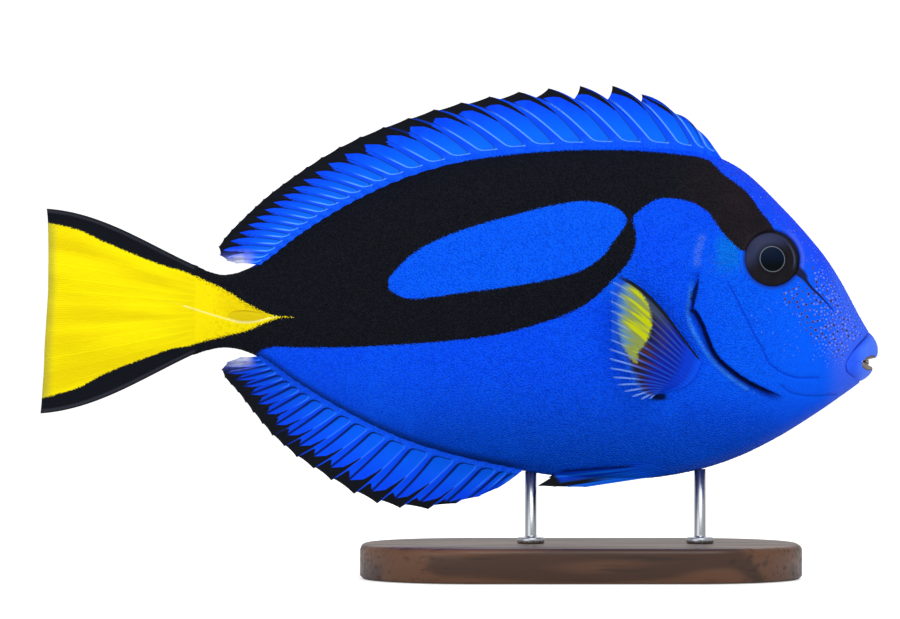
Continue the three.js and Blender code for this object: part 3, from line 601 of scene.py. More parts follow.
def skinMaterial():
    s = newMaterial("skin")
    x, y, z = s.xyz()
    blues = s.grouped(bodyBlue.tree, {"Mottle": 0.2})
    grain = blues["Grain"]
    blue = s.mix(s.math("MULTIPLY_ADD", s.attribute("tone"), 0.17, 0.0, clamp=True), blues["Blue"],
                 srgb(40, 130, 255))
    blue = s.over(blue, (0, 44, 200), s.math("MULTIPLY_ADD", s.attribute("tone"), -0.15, 0.0, clamp=True))
    # painted highlights: the pale stroke along the brow ridge over the gill cover and the lit edge of the
    # shoulder ridge; between them the greenish patch behind the eye, its own colour
    blue = s.over(blue, (96, 140, 240), s.step(s.attribute("brow"), 1.6, 0.2), s.step(grain, 0.3, 0.7), 0.6)
    patch = s.times(s.step(s.math("ABSOLUTE", s.math("SUBTRACT", x, 70.2)), 4.5, 1.5), s.step(z, 78, 84),
                    s.step(z, 92, 87))
    blue = s.over(blue, (0, 122, 226), patch, 0.7)
    lit = s.times(s.line(s.attribute("ridge"), 0.55, 0.9), s.step(z, 79, 74),
                  s.step(s.noise(900, 2, (0.35, 1, 1)), 0.3, 0.6, 0.55, 1.0))
    blue = s.over(blue, (56, 146, 255), lit, 0.7)
    # painted shade: the dark in the gill opening, down the groove behind it and along the cheek and throat
    # creases
    slit, fade, wide = s.attribute("slit"), s.attribute("slitFade"), s.attribute("slitWide")
    under = s.times(s.step(slit, 0.25, 0.0), fade, s.step(z, 75, 70, 0.5, 1.0))
    blue = s.over(blue, (0, 28, 146), under, s.step(slit, -2.7, -0.6), 0.85)
    blue = s.over(blue, (0, 14, 84), under, s.step(slit, -1.5, -0.4), s.step(z, 72, 69), 0.6)
    slitShadow = s.times(s.step(s.math("DIVIDE", slit, s.math("MAXIMUM", wide, 0.05)), -1.0, -0.55),
                   s.step(slit, 0.2, -0.02), fade)
    blue = s.over(blue, (2, 12, 54), slitShadow, 0.88)
    blue = s.over(blue, (0, 44, 190), s.line(s.attribute("cheekLine"), 0.28, 0.8), s.step(z, 80, 76), 0.6)
    blue = s.over(blue, (0, 34, 140), s.line(s.attribute("throatLine"), 0.24, 0.8), 0.4)
    # painted shade on the skin where it meets the eye
    blue = s.over(blue, (20, 30, 110), s.step(s.attribute("fromEye"), 8.6, 7.4), 0.6)
    # the paler rim ahead of the eye, painted shade in the crease along the anal fin, and the pale edge of the
    # throat
    rim = s.times(s.line(s.math("SUBTRACT", s.attribute("fromEye"), 8.2), 0.5, 0.8), s.step(x, 84, 88),
                  s.step(z, 78.5, 81))
    blue = s.over(blue, (92, 116, 255), rim, 0.4)
    keel = s.attribute("keel")
    blue = s.over(blue, (4, 40, 102), s.step(keel, 3.0, 0.6), s.step(x, 20, 12), 0.85)
    blue = s.over(blue, (84, 108, 200), s.step(keel, 3.5, 0.0), s.step(x, 40, 70), 0.25)
    # painted shadow under the foot of the pectoral fin
    aside, below = (s.math("ABSOLUTE", s.math("SUBTRACT", *pair)) for pair in ((x, 52.2), (z, 47.7)))
    blue = s.over(blue, (2, 14, 40), s.step(aside, 2.8, 0.9), s.step(below, 1.25, 0.45), 0.95)
    # black band and yellow wedge
    black = s.ragged(s.attribute("black"), 1.3, 0.16)
    yellow = s.ragged(s.attribute("yellow"), 1.3, 0.16)
    brownish = s.mix(s.times(s.step(x, 52, 72), s.step(s.noise(110, 2), 0.3, 0.7, 0.5, 1.0)), colours["black"],
                     srgb(34, 27, 33))
    brownish = s.over(brownish, (36, 36, 44), s.math("MULTIPLY_ADD", s.attribute("tone"), 0.5, 0.0, clamp=True))
    colour = s.mix(black, blue, brownish)
    gold = s.mix(s.times(s.step(s.attribute("spineLine"), 0.0, 2.2, 0, 0.5), s.step(x, -66, -60)),
                 colours["yellow"], srgb(222, 194, 0))
    gold = s.over(gold, (206, 178, 0), s.step(s.noise(1300, 2), 0.5, 0.7), s.step(x, -70, -62), 0.4)
    gold = s.over(gold, (255, 246, 150), s.line(s.attribute("spineLine"), 0.2, 0.8), 0.7)
    colour = s.mix(yellow, colour, gold)
    colour = s.over(colour, (26, 26, 38), s.line(s.attribute("groove"), 0.8, 0.35), 0.95)
    # painted shade: the skin that closes the mouth is dark brown, as the shade inside the mouth
    colour = s.over(colour, (44, 30, 28), s.attribute("inMouth"))
    s.bump(s.add(grain, s.times(s.cells(1500), 0.7)), 0.35, 0.08)
    return s.finish(colour, roughness=0.6, specular=0.05)


print("skin")
skinFinish = skinMaterial()
skin = makeSkin(skinFinish)


# Scales, pores and papillae: one tree sets small shapes over the skin, along the lie of the scales
def scatterTree():
    s = newGroup("set over the skin", "GeometryNodeTree", [
        ("Skin", "NodeSocketGeometry", None), ("Shape", "NodeSocketObject", None),
        ("Mask", "NodeSocketString", ""), ("Girth", "NodeSocketString", ""),
        ("Spacing", "NodeSocketFloat", 0.001), ("Crowding", "NodeSocketFloat", 1e7),
        ("Spin", "NodeSocketFloat", 0.2), ("Unevenness", "NodeSocketFloat", 0.15), ("Seed", "NodeSocketInt", 1),
        ("Finish", "NodeSocketMaterial", None),
    ], [("Pieces", "NodeSocketGeometry")])

    def outputOf(node):
        return [socket for socket in node.outputs if socket.enabled][0]

    def named(name):
        return outputOf(s.node("GeometryNodeInputNamedAttribute", {"Name": name}, data_type="FLOAT"))

    def randomBetween(low, high, seed):
        made = s.node("FunctionNodeRandomValue", data_type="FLOAT")
        lowest, highest = [socket for socket in made.inputs if socket.enabled and socket.type == "VALUE"][:2]
        s.link(low, lowest)
        s.link(high, highest)
        s.link(seed, made.inputs["Seed"])
        return outputOf(made)

    def stored(geometry, name, value, dataType):
        made = s.node("GeometryNodeStoreNamedAttribute", {"Geometry": geometry, "Name": name},
                      data_type=dataType, domain="POINT")
        s.link(value, [socket for socket in made.inputs if socket.enabled and socket.name == "Value"][0])
        return made.outputs["Geometry"]

    g = s.given
    mask = named(g["Mask"])
    spread = s.node("GeometryNodeDistributePointsOnFaces", {
        "Mesh": g["Skin"], "Distance Min": g["Spacing"], "Density Max": g["Crowding"], "Density Factor": mask,
        "Seed": g["Seed"], "Selection": s.math("GREATER_THAN", mask, 0.02),
    }, distribute_method="POISSON")
    points = stored(spread.outputs["Points"], "root", s.node("GeometryNodeInputPosition").outputs[0],
                    "FLOAT_VECTOR")
    points = stored(points, "tone", randomBetween(-1.0, 1.0, g["Seed"]), "FLOAT")
    upright = s.node("FunctionNodeAlignRotationToVector", {"Vector": spread.outputs["Normal"]}, axis="Z")
    lying = s.node("FunctionNodeAlignRotationToVector",
                   {"Rotation": upright.outputs[0], "Vector": (-1.0, 0.0, 0.0)},
                   axis="X", pivot_axis="Z")
    turn = randomBetween(s.times(g["Spin"], -1.0), g["Spin"], s.add(g["Seed"], 1.0))
    turnTo = s.node("FunctionNodeEulerToRotation", {0: s.node("ShaderNodeCombineXYZ", {"Z": turn}).outputs[0]})
    turned = s.node("FunctionNodeRotateRotation", {0: lying.outputs[0], 1: turnTo.outputs[0]},
                    rotation_space="LOCAL")
    size = randomBetween(s.math("SUBTRACT", 1.0, g["Unevenness"]), s.add(g["Unevenness"], 1.0),
                         s.add(g["Seed"], 2.0))
    shape = s.node("GeometryNodeObjectInfo", {"Object": g["Shape"]}).outputs["Geometry"]
    placed = s.node("GeometryNodeInstanceOnPoints", {
        "Points": points, "Instance": shape, "Rotation": turned.outputs[0],
        "Scale": s.times(size, named(g["Girth"])),
    })
    real = s.node("GeometryNodeRealizeInstances", {"Geometry": placed.outputs["Instances"]})
    finished = s.node("GeometryNodeSetMaterial",
                      {"Geometry": real.outputs["Geometry"], "Material": g["Finish"]})
    s.link(finished.outputs["Geometry"], s.result["Pieces"])
    return s.tree


# A small closed shape turned about its own upright axis: (radius, height) from its foot to its top
def smallShape(name, profile, sides, length=1.0, lean=0.0, pit=None):
    turn = np.arange(sides) / sides * 2 * np.pi
    r, h = np.array(profile[1:-1], float).T
    x = r[:, None] * np.cos(turn) * length
    rings = np.stack([x, r[:, None] * np.sin(turn), h[:, None] + x * lean], -1)
    flat, faces = tubeOf(rings, (0, 0, profile[0][1]), (0, 0, profile[-1][1]))
    outermost = max(r) * length
    fromAxis = np.hypot(flat[:, 0], flat[:, 1])
    inPit = 0.0 if pit is None else smoothStep(pit * 1.3, pit * 0.7, fromAxis) * (flat[:, 2] > 0)
    return meshObject(name, flat, outward(flat, faces), None, {
        "patchU": flat[:, 0] / outermost, "patchV": flat[:, 1] / outermost, "pit": inPit,
    })


# Places on the unwrapped skin: along the body, and round each side from belly to back
unwrapped = {"rearX": -72, "length": 184, "margin": 0.01, "sideHeight": 0.48, "otherSide": 0.51,
             "patch": 0.0015}


def unwrap(root):
    w = unwrapped
    x, y, z = root.T
    middle = widest(x)
    rise = (z - middle) / np.where(z > middle, back(x) - middle, middle - belly(x))
    height = w["sideHeight"] * np.interp(np.arcsin(np.clip(rise, -1, 1)), fineTurns, turnShares)
    u = w["margin"] + (1 - 2 * w["margin"]) * (x - w["rearX"]) / w["length"]
    return np.stack([u, np.where(y > 0, w["margin"], w["otherSide"]) + height], -1)


def scatter(name, shape, finish, sizes, **values):
    carrier = bpy.data.objects.new("carrier", skin.data)
    bpy.context.collection.objects.link(carrier)
    modifier = carrier.modifiers.new("scatter", "NODES")
    modifier.node_group = overSkin
    given = {"Shape": shape, "Finish": finish, "Spacing": sizes["spacing"] * mm, "Crowding": sizes["crowding"],
             "Seed": sizes["seed"], **values}
    for item in overSkin.interface.items_tree:
        if item.in_out == "INPUT" and item.name in given:
            modifier[item.identifier] = given[item.name]
    graph = bpy.context.evaluated_depsgraph_get()
    mesh = bpy.data.meshes.new_from_object(carrier.evaluated_get(graph))
    carrier.modifiers.remove(modifier)
    bpy.data.objects.remove(carrier)
    mesh.name = name
    root = np.zeros(len(mesh.vertices) * 3, np.float32)
    mesh.attributes["root"].data.foreach_get("vector", root)
    patch = np.zeros((2, len(mesh.vertices)), np.float32)
    mesh.attributes["patchU"].data.foreach_get("value", patch[0])
    mesh.attributes["patchV"].data.foreach_get("value", patch[1])
    corners = np.zeros(len(mesh.loops), np.int32)
    mesh.loops.foreach_get("vertex_index", corners)
    places = unwrap(root.reshape(-1, 3) / mm) + patch.T * unwrapped["patch"]
    for layer in list(mesh.uv_layers):
        mesh.uv_layers.remove(layer)
    mesh.uv_layers.new(name="OFBake").data.foreach_set("uv", places[corners].astype(np.float32).ravel())
    for key in ("root", "patchU", "patchV", "coat0", "coat1", "coat2", "coat3", "pores", "papillae",
                "coatGirth", "poreGirth"):
        mesh.attributes.remove(mesh.attributes[key])
    mesh.polygons.foreach_set("use_smooth", np.full(len(mesh.polygons), True))
    made = bpy.data.objects.new(name, mesh)
    bpy.context.collection.objects.link(made)
    print(name, len(mesh.polygons))
    return made


def poreMaterial():
    s = newMaterial("pore skin")
    blues = s.grouped(bodyBlue.tree, {"Mottle": 0.2})
    # the dark middle of each pore is painted shade in its hole
    rim = s.mix(s.math("MULTIPLY_ADD", s.attribute("tone"), 0.25, 0.6), blues["Blue"], colours["pitRim"])
    return s.finish(s.mix(s.step(s.attribute("pit"), 0.3, 0.7), rim, colours["pit"]), roughness=0.55,
                    specular=0.1)


def papillaMaterial():
    s = newMaterial("papilla skin")
    blues = s.grouped(bodyBlue.tree, {"Mottle": 0.1})
    pale = s.mix(s.math("MULTIPLY_ADD", s.attribute("tone"), 0.3, 0.55), blues["Blue"], colours["papilla"])
    return s.finish(pale, roughness=0.5, specular=0.15)


print("scales")
scaleSizes = {
    "spacing": 0.56, "crowding": 14e6, "seed": 11, "sides": 5, "length": 1.35, "lean": 0.12,
    "profile": [(0, -0.07), (0.36, 0.0), (0, 0.075)],
}
poreSizes = {
    "spacing": 1.3, "crowding": 2.4e6, "seed": 5, "sides": 9, "pit": 0.36,
    "profile": [(0, -0.1), (0.7, -0.06), (0.5, 0.12), (0.34, 0.1), (0, 0.03)],
}
papillaSizes = {
    "spacing": 0.8, "crowding": 3.6e6, "seed": 8, "sides": 7,
    "profile": [(0, -0.1), (0.5, -0.05), (0.38, 0.16), (0.18, 0.26), (0, 0.28)],
}
overSkin = scatterTree()
scaleShape = smallShape("scaleShape", scaleSizes["profile"], scaleSizes["sides"], scaleSizes["length"],
                        scaleSizes["lean"])
poreShape = smallShape("poreShape", poreSizes["profile"], poreSizes["sides"], pit=poreSizes["pit"])
papillaShape = smallShape("papillaShape", papillaSizes["profile"], papillaSizes["sides"])
coats = [
    scatter("scales" + place, scaleShape, skinFinish, scaleSizes, Mask="coat%d" % k, Girth="coatGirth",
            Seed=scaleSizes["seed"] + k)
    for k, place in enumerate(("LeftRear", "LeftFront", "RightRear", "RightFront"))
]
pores = scatter("pores", poreShape, poreMaterial(), poreSizes, Mask="pores", Girth="poreGirth", Spin=3.0,
                Unevenness=0.3)
papillae = scatter("papillae", papillaShape, papillaMaterial(), papillaSizes, Mask="papillae",
                   Girth="poreGirth", Spin=3.0, Unevenness=0.35)
for shape in (scaleShape, poreShape, papillaShape):
    bpy.data.objects.remove(shape)

# Lips: two rolls of skin round the mouth, each from the left corner across the front to the right
mouth = {"rear": (101.5, 56.6), "corner": (105.6, 56.95), "roll": 0.75, "depth": 1.5, "steps": 48, "rings": 32}

# Each lip in the side view: its crease, its outline, the front end of its edge, and how far across the skin
# turns to that of the mouth
upperRoll = {
    "crease": [(101.5, 56.6), (101.75, 57.1), (102.7, 58.8), (104.7, 61.15), (106.5, 63.2), (107.5, 64.7)],
    "outline": [(107.5, 64.7), (108.2, 63.98), (108.9, 63.04), (109.5, 61.86), (109.9, 60.69), (110.03, 59.5),
                (109.95, 58.5), (109.7, 57.9)],
    "front": (109.7, 57.85), "inside": 0.83,
}
lowerRoll = {
    "crease": [(101.5, 56.6), (101.4, 55.9), (101.5, 54.9), (101.75, 54.2), (102.6, 53.4), (103.5, 52.6),
               (104.7, 51.4)],
    "outline": [(104.7, 51.3), (105.6, 51.65), (106.6, 52.2), (107.5, 52.9), (108.2, 53.65), (108.7, 54.45),
                (108.75, 55.1)],
    "front": (108.7, 55.3), "inside": 0.7,
}


def makeLip(name, lip, material):
    c = curveAt(lip["crease"])
    o = curveAt(lip["outline"])
    rear, corner, front = (np.array(place, float) for place in (mouth["rear"], mouth["corner"], lip["front"]))
    apart = np.array([0, 0.05 * np.sign(lip["crease"][-1][1] - rear[1])])
    e = curveAt([rear, (rear + corner) / 2, corner + apart, (corner + front) / 2 + apart, front])
    t = np.linspace(0, 1, mouth["steps"])[:, None]
    s = np.linspace(0, 1, mouth["rings"] // 2)[None, :]
    start, end = c(t), e(t)
    plain = start + (end - start) * s[..., None]
    bulge = o(s) - (o(0.0) + (o(1.0) - o(0.0)) * s[..., None])
    flat = plain + bulge * (t**1.5)[..., None]
    x, z = flat[..., 0], flat[..., 1]
    y = flankAt(np.minimum(x, 110), z, 0.25) * np.sqrt(np.maximum(1 - t**5, 0))
    # behind the corner the two lips meet at full height, in front each one rolls in at its edge
    parted = smoothStep(0.4, 0.62, t)
    meeting, rolling = np.sin(np.pi / 2 * s) ** 0.6, np.maximum(np.sin(np.pi * s**0.8), 0) ** 0.6
    profile = (1 - parted) * meeting + parted * rolling
    roll = mouth["roll"] * profile * np.minimum(1, t * 3)
    outer = np.stack([x + roll * 0.4 * parted, y + roll * (1 - t**4), z], -1)
    depth = mouth["depth"] * np.minimum(1, 0.15 + t * 2)
    inner = outer - np.stack([
        depth * (0.35 + 0.65 * t**2) + 0 * s, np.minimum(depth, y * 0.9) * (1 - t**6) + 0 * s, 0 * (t + s),
    ], -1)
    ring = np.concatenate([outer, inner[:, ::-1]], axis=1)
    whole = np.concatenate([ring, ring[::-1][1:] * np.array([1, -1, 1])])
    count, rows = ring.shape[1], whole.shape[0]
    faces = gridFaces(rows, count, wrap=True).tolist()
    faces.append(list(range(count))[::-1])
    faces.append([(rows - 1) * count + k for k in range(count)])
    beige = s - lip["inside"] - 0.15 * smoothStep(0.8, 1, t) - smoothStep(0.6, 0.48, t)
    beige = np.concatenate([beige, 1 + 0 * beige], 1)
    values = {
        "inner": np.concatenate([beige, beige[::-1][1:]]).ravel(),
        "fromCrease": np.tile(np.concatenate([s[0], 0 * s[0]]), rows),
    }
    points = whole.reshape(-1, 3)
    return meshObject(name, points, outward(points, faces), material, values)


def lipMaterial():
    s = newMaterial("lip skin")
    blues = s.grouped(bodyBlue.tree, {"Mottle": 0.12})
    x, y, z = s.xyz()
    blue = s.mix(0.6, blues["Blue"], srgb(0, 84, 255))
    blue = s.over(blue, (84, 134, 255), s.step(s.attribute("fromCrease"), 0.0, 0.35, 0.0, 0.6),
                  s.step(x, 103, 107))
    # painted shade along the crease behind the lip
    blue = s.over(blue, (10, 30, 150), s.step(s.attribute("fromCrease"), 0.12, 0.0, 0.0, 0.6))
    edge = s.math("MULTIPLY_ADD", s.noise(900, 2), 0.04, s.attribute("inner"))
    fleshy = s.mix(s.step(edge, 0.02, 0.14), srgb(84, 62, 66),
                   s.mix(s.noise(500, 3), srgb(104, 96, 92), srgb(158, 148, 132)))
    colour = s.mix(s.step(edge, 0.0, 0.05), blue, fleshy)
    s.bump(blues["Grain"], 0.3, 0.08)
    return s.finish(colour, roughness=0.45, specular=0.15)


print("lips and eyes")
lipFinish = lipMaterial()
upperLip = makeLip("upperLip", upperRoll, lipFinish)
lowerLip = makeLip("lowerLip", lowerRoll, lipFinish)


# Eyes
def makeEye(sideSign, material):
    rings, around = eye["rings"], eye["around"]
    a = np.linspace(0, np.pi / 2 * eye["pastSide"], rings + 1)[1:, None]
    b = np.linspace(0, 2 * np.pi, around, endpoint=False)[None, :]
    lx = eye["radius"] * np.sin(a) * np.cos(b)
    lz = eye["radius"] * np.sin(a) * np.sin(b)
    ly = eye["halfDepth"] * np.cos(a) + 0 * b
    lx, ly, lz = (np.append(value, pole) for value, pole in ((lx, 0), (ly, eye["halfDepth"]), (lz, 0)))
    up, forward = math.radians(eye["up"]), math.radians(eye["forward"])
    # up tips the gaze upwards, forward turns it towards the snout
    y1 = ly * math.cos(up) - lz * math.sin(up)
    z1 = ly * math.sin(up) + lz * math.cos(up)
    x2 = lx * math.cos(forward) + y1 * math.sin(forward)
    y2 = -lx * math.sin(forward) + y1 * math.cos(forward)
    depth = eye["halfDepth"] * math.sqrt(1 - (eye["seenRadius"] / eye["radius"]) ** 2)
    centreY = float(flankAt(eye["x"], eye["z"])) - depth
    points = np.stack([x2 - x2[-1] + eye["x"], (y2 + centreY) * sideSign, z1 - z1[-1] + eye["z"]], -1)
    grid, pole = points[:-1].reshape(rings, around, 3), points[-1]
    flat, faces = tubeOf(grid, pole, grid[-1].mean(0))
    radius = np.repeat(eye["radius"] * np.sin(np.minimum(a[:, 0], np.pi / 2)), around)
    values = {"radius": np.concatenate([radius, [0, 8]])}
    return meshObject("eyeLeft" if sideSign > 0 else "eyeRight", flat, outward(flat, faces), material, values)


def eyeMaterial():
    s = newMaterial("eye")
    x, y, z = s.xyz()
    r = s.attribute("radius")
    iris = s.mix(s.noise(420, 3), srgb(16, 16, 22), srgb(32, 29, 36))
    # painted sheen on the upper part of the iris, towards the tail
    iris = s.over(iris, (56, 66, 108), s.step(s.math("MULTIPLY_ADD", x, -0.6, z), 34, 39.5), 0.5)
    iris = s.over(iris, (14, 14, 20), s.step(r, 4.9, 3.6), 0.5)
    ring = s.times(s.step(r, eye["pupil"], eye["pupil"] + 0.08),
                   s.step(r, eye["pupil"] + 0.25, eye["pupil"] + 0.16))
    # painted reflection: the pupil is navy at the top and near black below
    pupil = s.mix(s.step(z, 84.8, 81.5), srgb(2, 18, 42), srgb(2, 8, 12))
    colour = s.mix(s.step(r, eye["pupil"] - 0.05, eye["pupil"] + 0.1), pupil, iris)
    colour = s.over(colour, (122, 132, 140), ring, 0.8)
    # painted highlight: a faint glint along the rim of the eye on the snout side
    rim = s.times(s.line(s.math("SUBTRACT", r, eye["glint"]), 0.3, 0.6), s.step(x, 84.5, 88),
                  s.step(z, 80.5, 83), s.step(z, 90, 87))
    colour = s.over(colour, (110, 124, 166), rim, 0.25)
    colour = s.over(colour, (10, 10, 18), s.step(r, 6.9, 7.3))
    return s.finish(colour, roughness=0.32, specular=0.06)


eyeFinish = eyeMaterial()
eyes = {side: makeEye(side, eyeFinish) for side in (1, -1)}


# Fins
def sharesOf(count, spacing=None):
    steps = np.ones(count - 1) if spacing is None else spacing(np.arange(count - 1))
    return np.concatenate([[0], np.cumsum(steps) / steps.sum()])


# Rays as arrays: t has one row per ray
def rayPoints(rays, t):
    root, tip = rays["root"][:, None], rays["tip"][:, None]
    chord = tip - root
    across = np.stack([-chord[..., 1], chord[..., 0]], -1)
    swell = rays["bow"][:, None] * 4 * t * (1 - t) * (1 + np.reshape(rays["late"], (-1, 1)) * (2 * t - 1))
    return root + chord * t[..., None] + across * swell[..., None]


# A fin in the side view: columns from ray to ray, rows from root to margin, and what is known at each point.
# Behind each ray the web runs nearly to its tip, in front only to the notch.
def finGrid(rays, sizes):
    rows, web = sizes["rows"], sizes["web"]
    n = len(rays["root"])
    v = np.linspace(0, 1, rows)[None, :]
    start = np.broadcast_to(rays.get("start", 0.0), n)[:, None]

    def upTo(end):
        t = start + (np.reshape(end, (-1, 1)) - start) * v
        return rayPoints(rays, t), t

    crest, tCrest = upTo(np.ones(n))
    front, tFront = upTo(rays["notch"])
    rear, tRear = upTo(np.full(n, sizes["rearEnd"]))
    direction = np.gradient(crest, axis=1)
    direction /= np.linalg.norm(direction, axis=-1, keepdims=True)
    half = sizes["rayHalf"] * (1 - 0.6 * v) + 0 * tCrest
    crestShare = 0.08  # how far the two crest lines of a ray lie from its middle, as a share of its half width
    aside = np.stack([direction[..., 1], -direction[..., 0]], -1) * rays["turn"] * half[..., None]
    front, rear = front + aside, rear - aside
    gap = front[1:] - rear[:-1]
    width = np.abs(gap[..., 0] * direction[:-1, :, 1] - gap[..., 1] * direction[:-1, :, 0]) + 2 * half[:-1]
    width = np.concatenate([width, width[-1:]])
    ahead = np.concatenate([width[:1], width[:-1]])
    columns = []
    for i in range(n):
        columns += [
            (front[i], tFront[i], ahead[i] - half[i], half[i], i - 0.001, ahead[i]),
            (crest[i] + aside[i] * crestShare, tCrest[i], ahead[i], 0 * half[i], i - 0.0001, ahead[i]),
            (crest[i] - aside[i] * crestShare, tCrest[i], 0 * half[i], width[i], i + 0.0001, width[i]),
            (rear[i], tRear[i], half[i], width[i] - half[i], i + 0.001, width[i]),
        ]
        for u in np.arange(1, web) / web if i < n - 1 else ():
            t = tRear[i] * (1 - u) + tFront[i + 1] * u
            behind = half[i] + (width[i] - 2 * half[i]) * u
            sag = sizes.get("sag", 0.0) * width[i] * 4 * u * (1 - u) * smoothStep(0.7, 1.0, v[0])
            place = rear[i] + gap[i] * u - direction[i] * sag[:, None]
            columns.append((place, t, behind, width[i] - behind, i + u, width[i]))

    def table(k):
        return np.array([np.broadcast_to(column[k], (rows,)) if k else column[0] for column in columns])

    flat, t, behind, before, cell, width = (table(k) for k in range(6))
    run = np.concatenate([np.zeros((len(flat), 1)),
                          np.cumsum(np.linalg.norm(np.diff(flat, axis=1), axis=-1), 1)], 1)
    atRoot = np.array([np.interp(0, tk, rk) for tk, rk in zip(t, run)])[:, None]
    band = np.minimum(sizes["bandWidest"], sizes["bandShare"] * width) * np.clip(1 - t, 0, 1) ** 0.9 + 0.1
    return {"flat": flat, "along": t, "behind": behind, "before": before, "rayIndex": cell, "cellWidth": width,
            "fromRoot": run - atRoot, "band": band}


def makeFin(name, rays, sizes, material, markings, bend=None, fit=None):
    grid = finGrid(rays, sizes)
    flat, t = grid.pop("flat"), grid["along"]
    near = np.minimum(grid["behind"], grid["before"])
    ridge = sizes["ridge"] * bell(near, grid["band"] + 0.15) * np.clip(1 - 0.75 * t, 0.2, 1)
    fleshy = np.clip(1 - np.maximum(t, 0) / sizes["fleshy"], 0, 1) ** 2
    half = sizes["blade"] * (1 - 0.45 * np.clip(t, 0, 1)) + sizes["rootHalf"] * fleshy + ridge
    if "stalk" in sizes:
        half = sizes["stalk"](flat[..., 0], flat[..., 1], half)
    middle = np.stack([flat[..., 0], 0 * t, flat[..., 1]], -1)
    if fit:
        middle = fit(middle, grid)
    if bend:
        middle = middle + bend(middle, grid)
    values = {**grid, **markings(flat[..., 0], flat[..., 1], grid)}
    points = bothFaces(middle, half)
    tiled = {
        key: np.tile(np.asarray(value).ravel(), 2) for key, value in values.items() if key in sizes["marks"]
    }
    return meshObject(name, points, outward(points, sheetFaces(*t.shape)), material, tiled)


webMarks = ("along", "behind", "before", "band", "cellWidth", "fromRoot", "toBlack", "rayIndex")
dorsal = {
    "spines": 9, "soft": 20, "frontX": 67.6, "rearX": -53.4, "sheath": 1.2, "rearEnd": 0.985, "late": 0.4,
    "margin": [(62.4, 118.0), (56.8, 121.7), (49.5, 126.3), (42.1, 129.1), (33.7, 129.5), (17.6, 128.2),
               (2.6, 125.6), (-12.1, 121.5), (-31.3, 113.6), (-48.2, 102.4), (-58.9, 92.7), (-63.3, 87.4),
               (-63.4, 85.2), (-61.6, 83.5), (-58.8, 82.6)],
    "rootSpacing": [(0, 0.38), (1, 0.33), (2, 0.75), (3, 0.98), (9, 0.96), (11, 0.8), (13, 0.6), (15, 0.42),
                    (19, 0.37), (23, 0.27), (28, 0.22)],
    "tipSpacing": [(0, 0.95), (1, 1.22), (2, 1.02), (3, 1.07), (5, 1.0), (7, 0.95), (9, 0.9), (11, 0.83),
                   (13, 0.68), (15, 0.5), (17, 0.43), (19, 0.36), (23, 0.37), (25, 0.3), (28, 0.34)],
    "notch": [(0, 0.9), (1, 0.54), (2, 0.55), (3, 0.61), (5, 0.68), (6, 0.78), (7, 0.86), (9, 0.92), (12, 0.95),
              (28, 0.97)],
    "bow": [(0, -0.06), (1, -0.15), (2, -0.12), (3, -0.095), (5, -0.085), (14, -0.06), (28, -0.04)],
    "black": [(0, -0.6), (1, -0.6), (2, -0.3), (3, 1.6), (5, 2.4), (10, 2.5), (15, 2.5), (23, 2.3), (26, 1.4),
              (27, 0.3), (28, -0.5)],
    "rows": 60, "web": 12, "rayHalf": 0.16, "ridge": 0.3, "blade": 0.2, "rootHalf": 0.9, "fleshy": 0.3,
    "sag": 0.08, "bandWidest": 1.45, "bandShare": 0.19, "marks": webMarks,
}
anal = {
    "spines": 3, "soft": 18, "frontX": 15.4, "rearX": -53.0, "sheath": 1.0, "rearEnd": 0.985, "late": 0.0,
    "margin": [(9.8, 23.3), (5.0, 21.1), (-1.0, 19.3), (-8.4, 17.8), (-15.8, 18.1), (-21.8, 19.3),
               (-27.9, 21.8), (-33.9, 25.4), (-38.6, 28.5), (-43.0, 31.5), (-46.3, 34.4), (-49.4, 37.2),
               (-52.0, 40.3), (-54.4, 43.3), (-56.4, 46.0), (-58.4, 48.7), (-60.2, 50.7), (-61.8, 52.5),
               (-62.7, 54.6), (-61.2, 56.6), (-57.8, 57.9)],
    "rootX": [15.4, 13.2, 10.6, 5.7, -0.35, -7.1, -13.1, -18.5, -23.2, -27.6, -31.4, -35.1, -38.5, -41.3, -43.7,
              -45.7, -47.4, -48.9, -50.2, -51.5, -53.0],
    "notch": [(0, 0.9), (2, 0.86), (4, 0.9), (8, 0.95), (20, 0.97)],
    "bow": [(0, 0.02), (20, 0.02)],
    "black": [(0, -0.6), (1, -0.6), (2, 0.3), (3, 1.7), (4, 2.4), (6, 2.9), (10, 2.9), (14, 2.4), (17, 1.6),
              (18, 0.8), (19, -0.2), (20, -0.6)],
    "rows": 60, "web": 12, "rayHalf": 0.16, "ridge": 0.24, "blade": 0.2, "rootHalf": 0.9, "fleshy": 0.3,
    "sag": 0.04, "bandWidest": 0.6, "bandShare": 0.11, "marks": webMarks,
}


def finRays(fin, rootHeight, turn):
    n = fin["spines"] + fin["soft"]
    index = np.arange(n)
    if "rootX" in fin:
        rootX, tip = np.array(fin["rootX"]), np.array(fin["margin"])
    else:
        rootX = fin["frontX"] + (fin["rearX"] - fin["frontX"]) * sharesOf(n, smoothThrough(fin["rootSpacing"]))
        tip = curveAt(fin["margin"])(sharesOf(n, smoothThrough(fin["tipSpacing"])))
    sheath = fin["sheath"] * smoothStep(fin["rearX"] - 0.5, fin["rearX"] + 8, rootX)
    root = np.stack([rootX, rootHeight(rootX) + turn * sheath], -1)
    # the web starts below the skin, at a negative share of the ray
    start = -np.minimum((1.35 * sheath + 0.5) / np.abs(tip[:, 1] - root[:, 1]), 0.3)
    return {"root": root, "tip": tip, "turn": turn, "late": fin["late"], "start": start,
            "bow": smoothThrough(fin["bow"])(index), "notch": smoothThrough(fin["notch"])(index)}


def medianMarkings(fin):
    line, depth = curvePoints(fin["margin"], 8), smoothThrough(fin["black"])

    def markings(x, z, grid):
        return {"toBlack": lineDistance(line, x, z)[0] - depth(grid["rayIndex"])}

    return markings


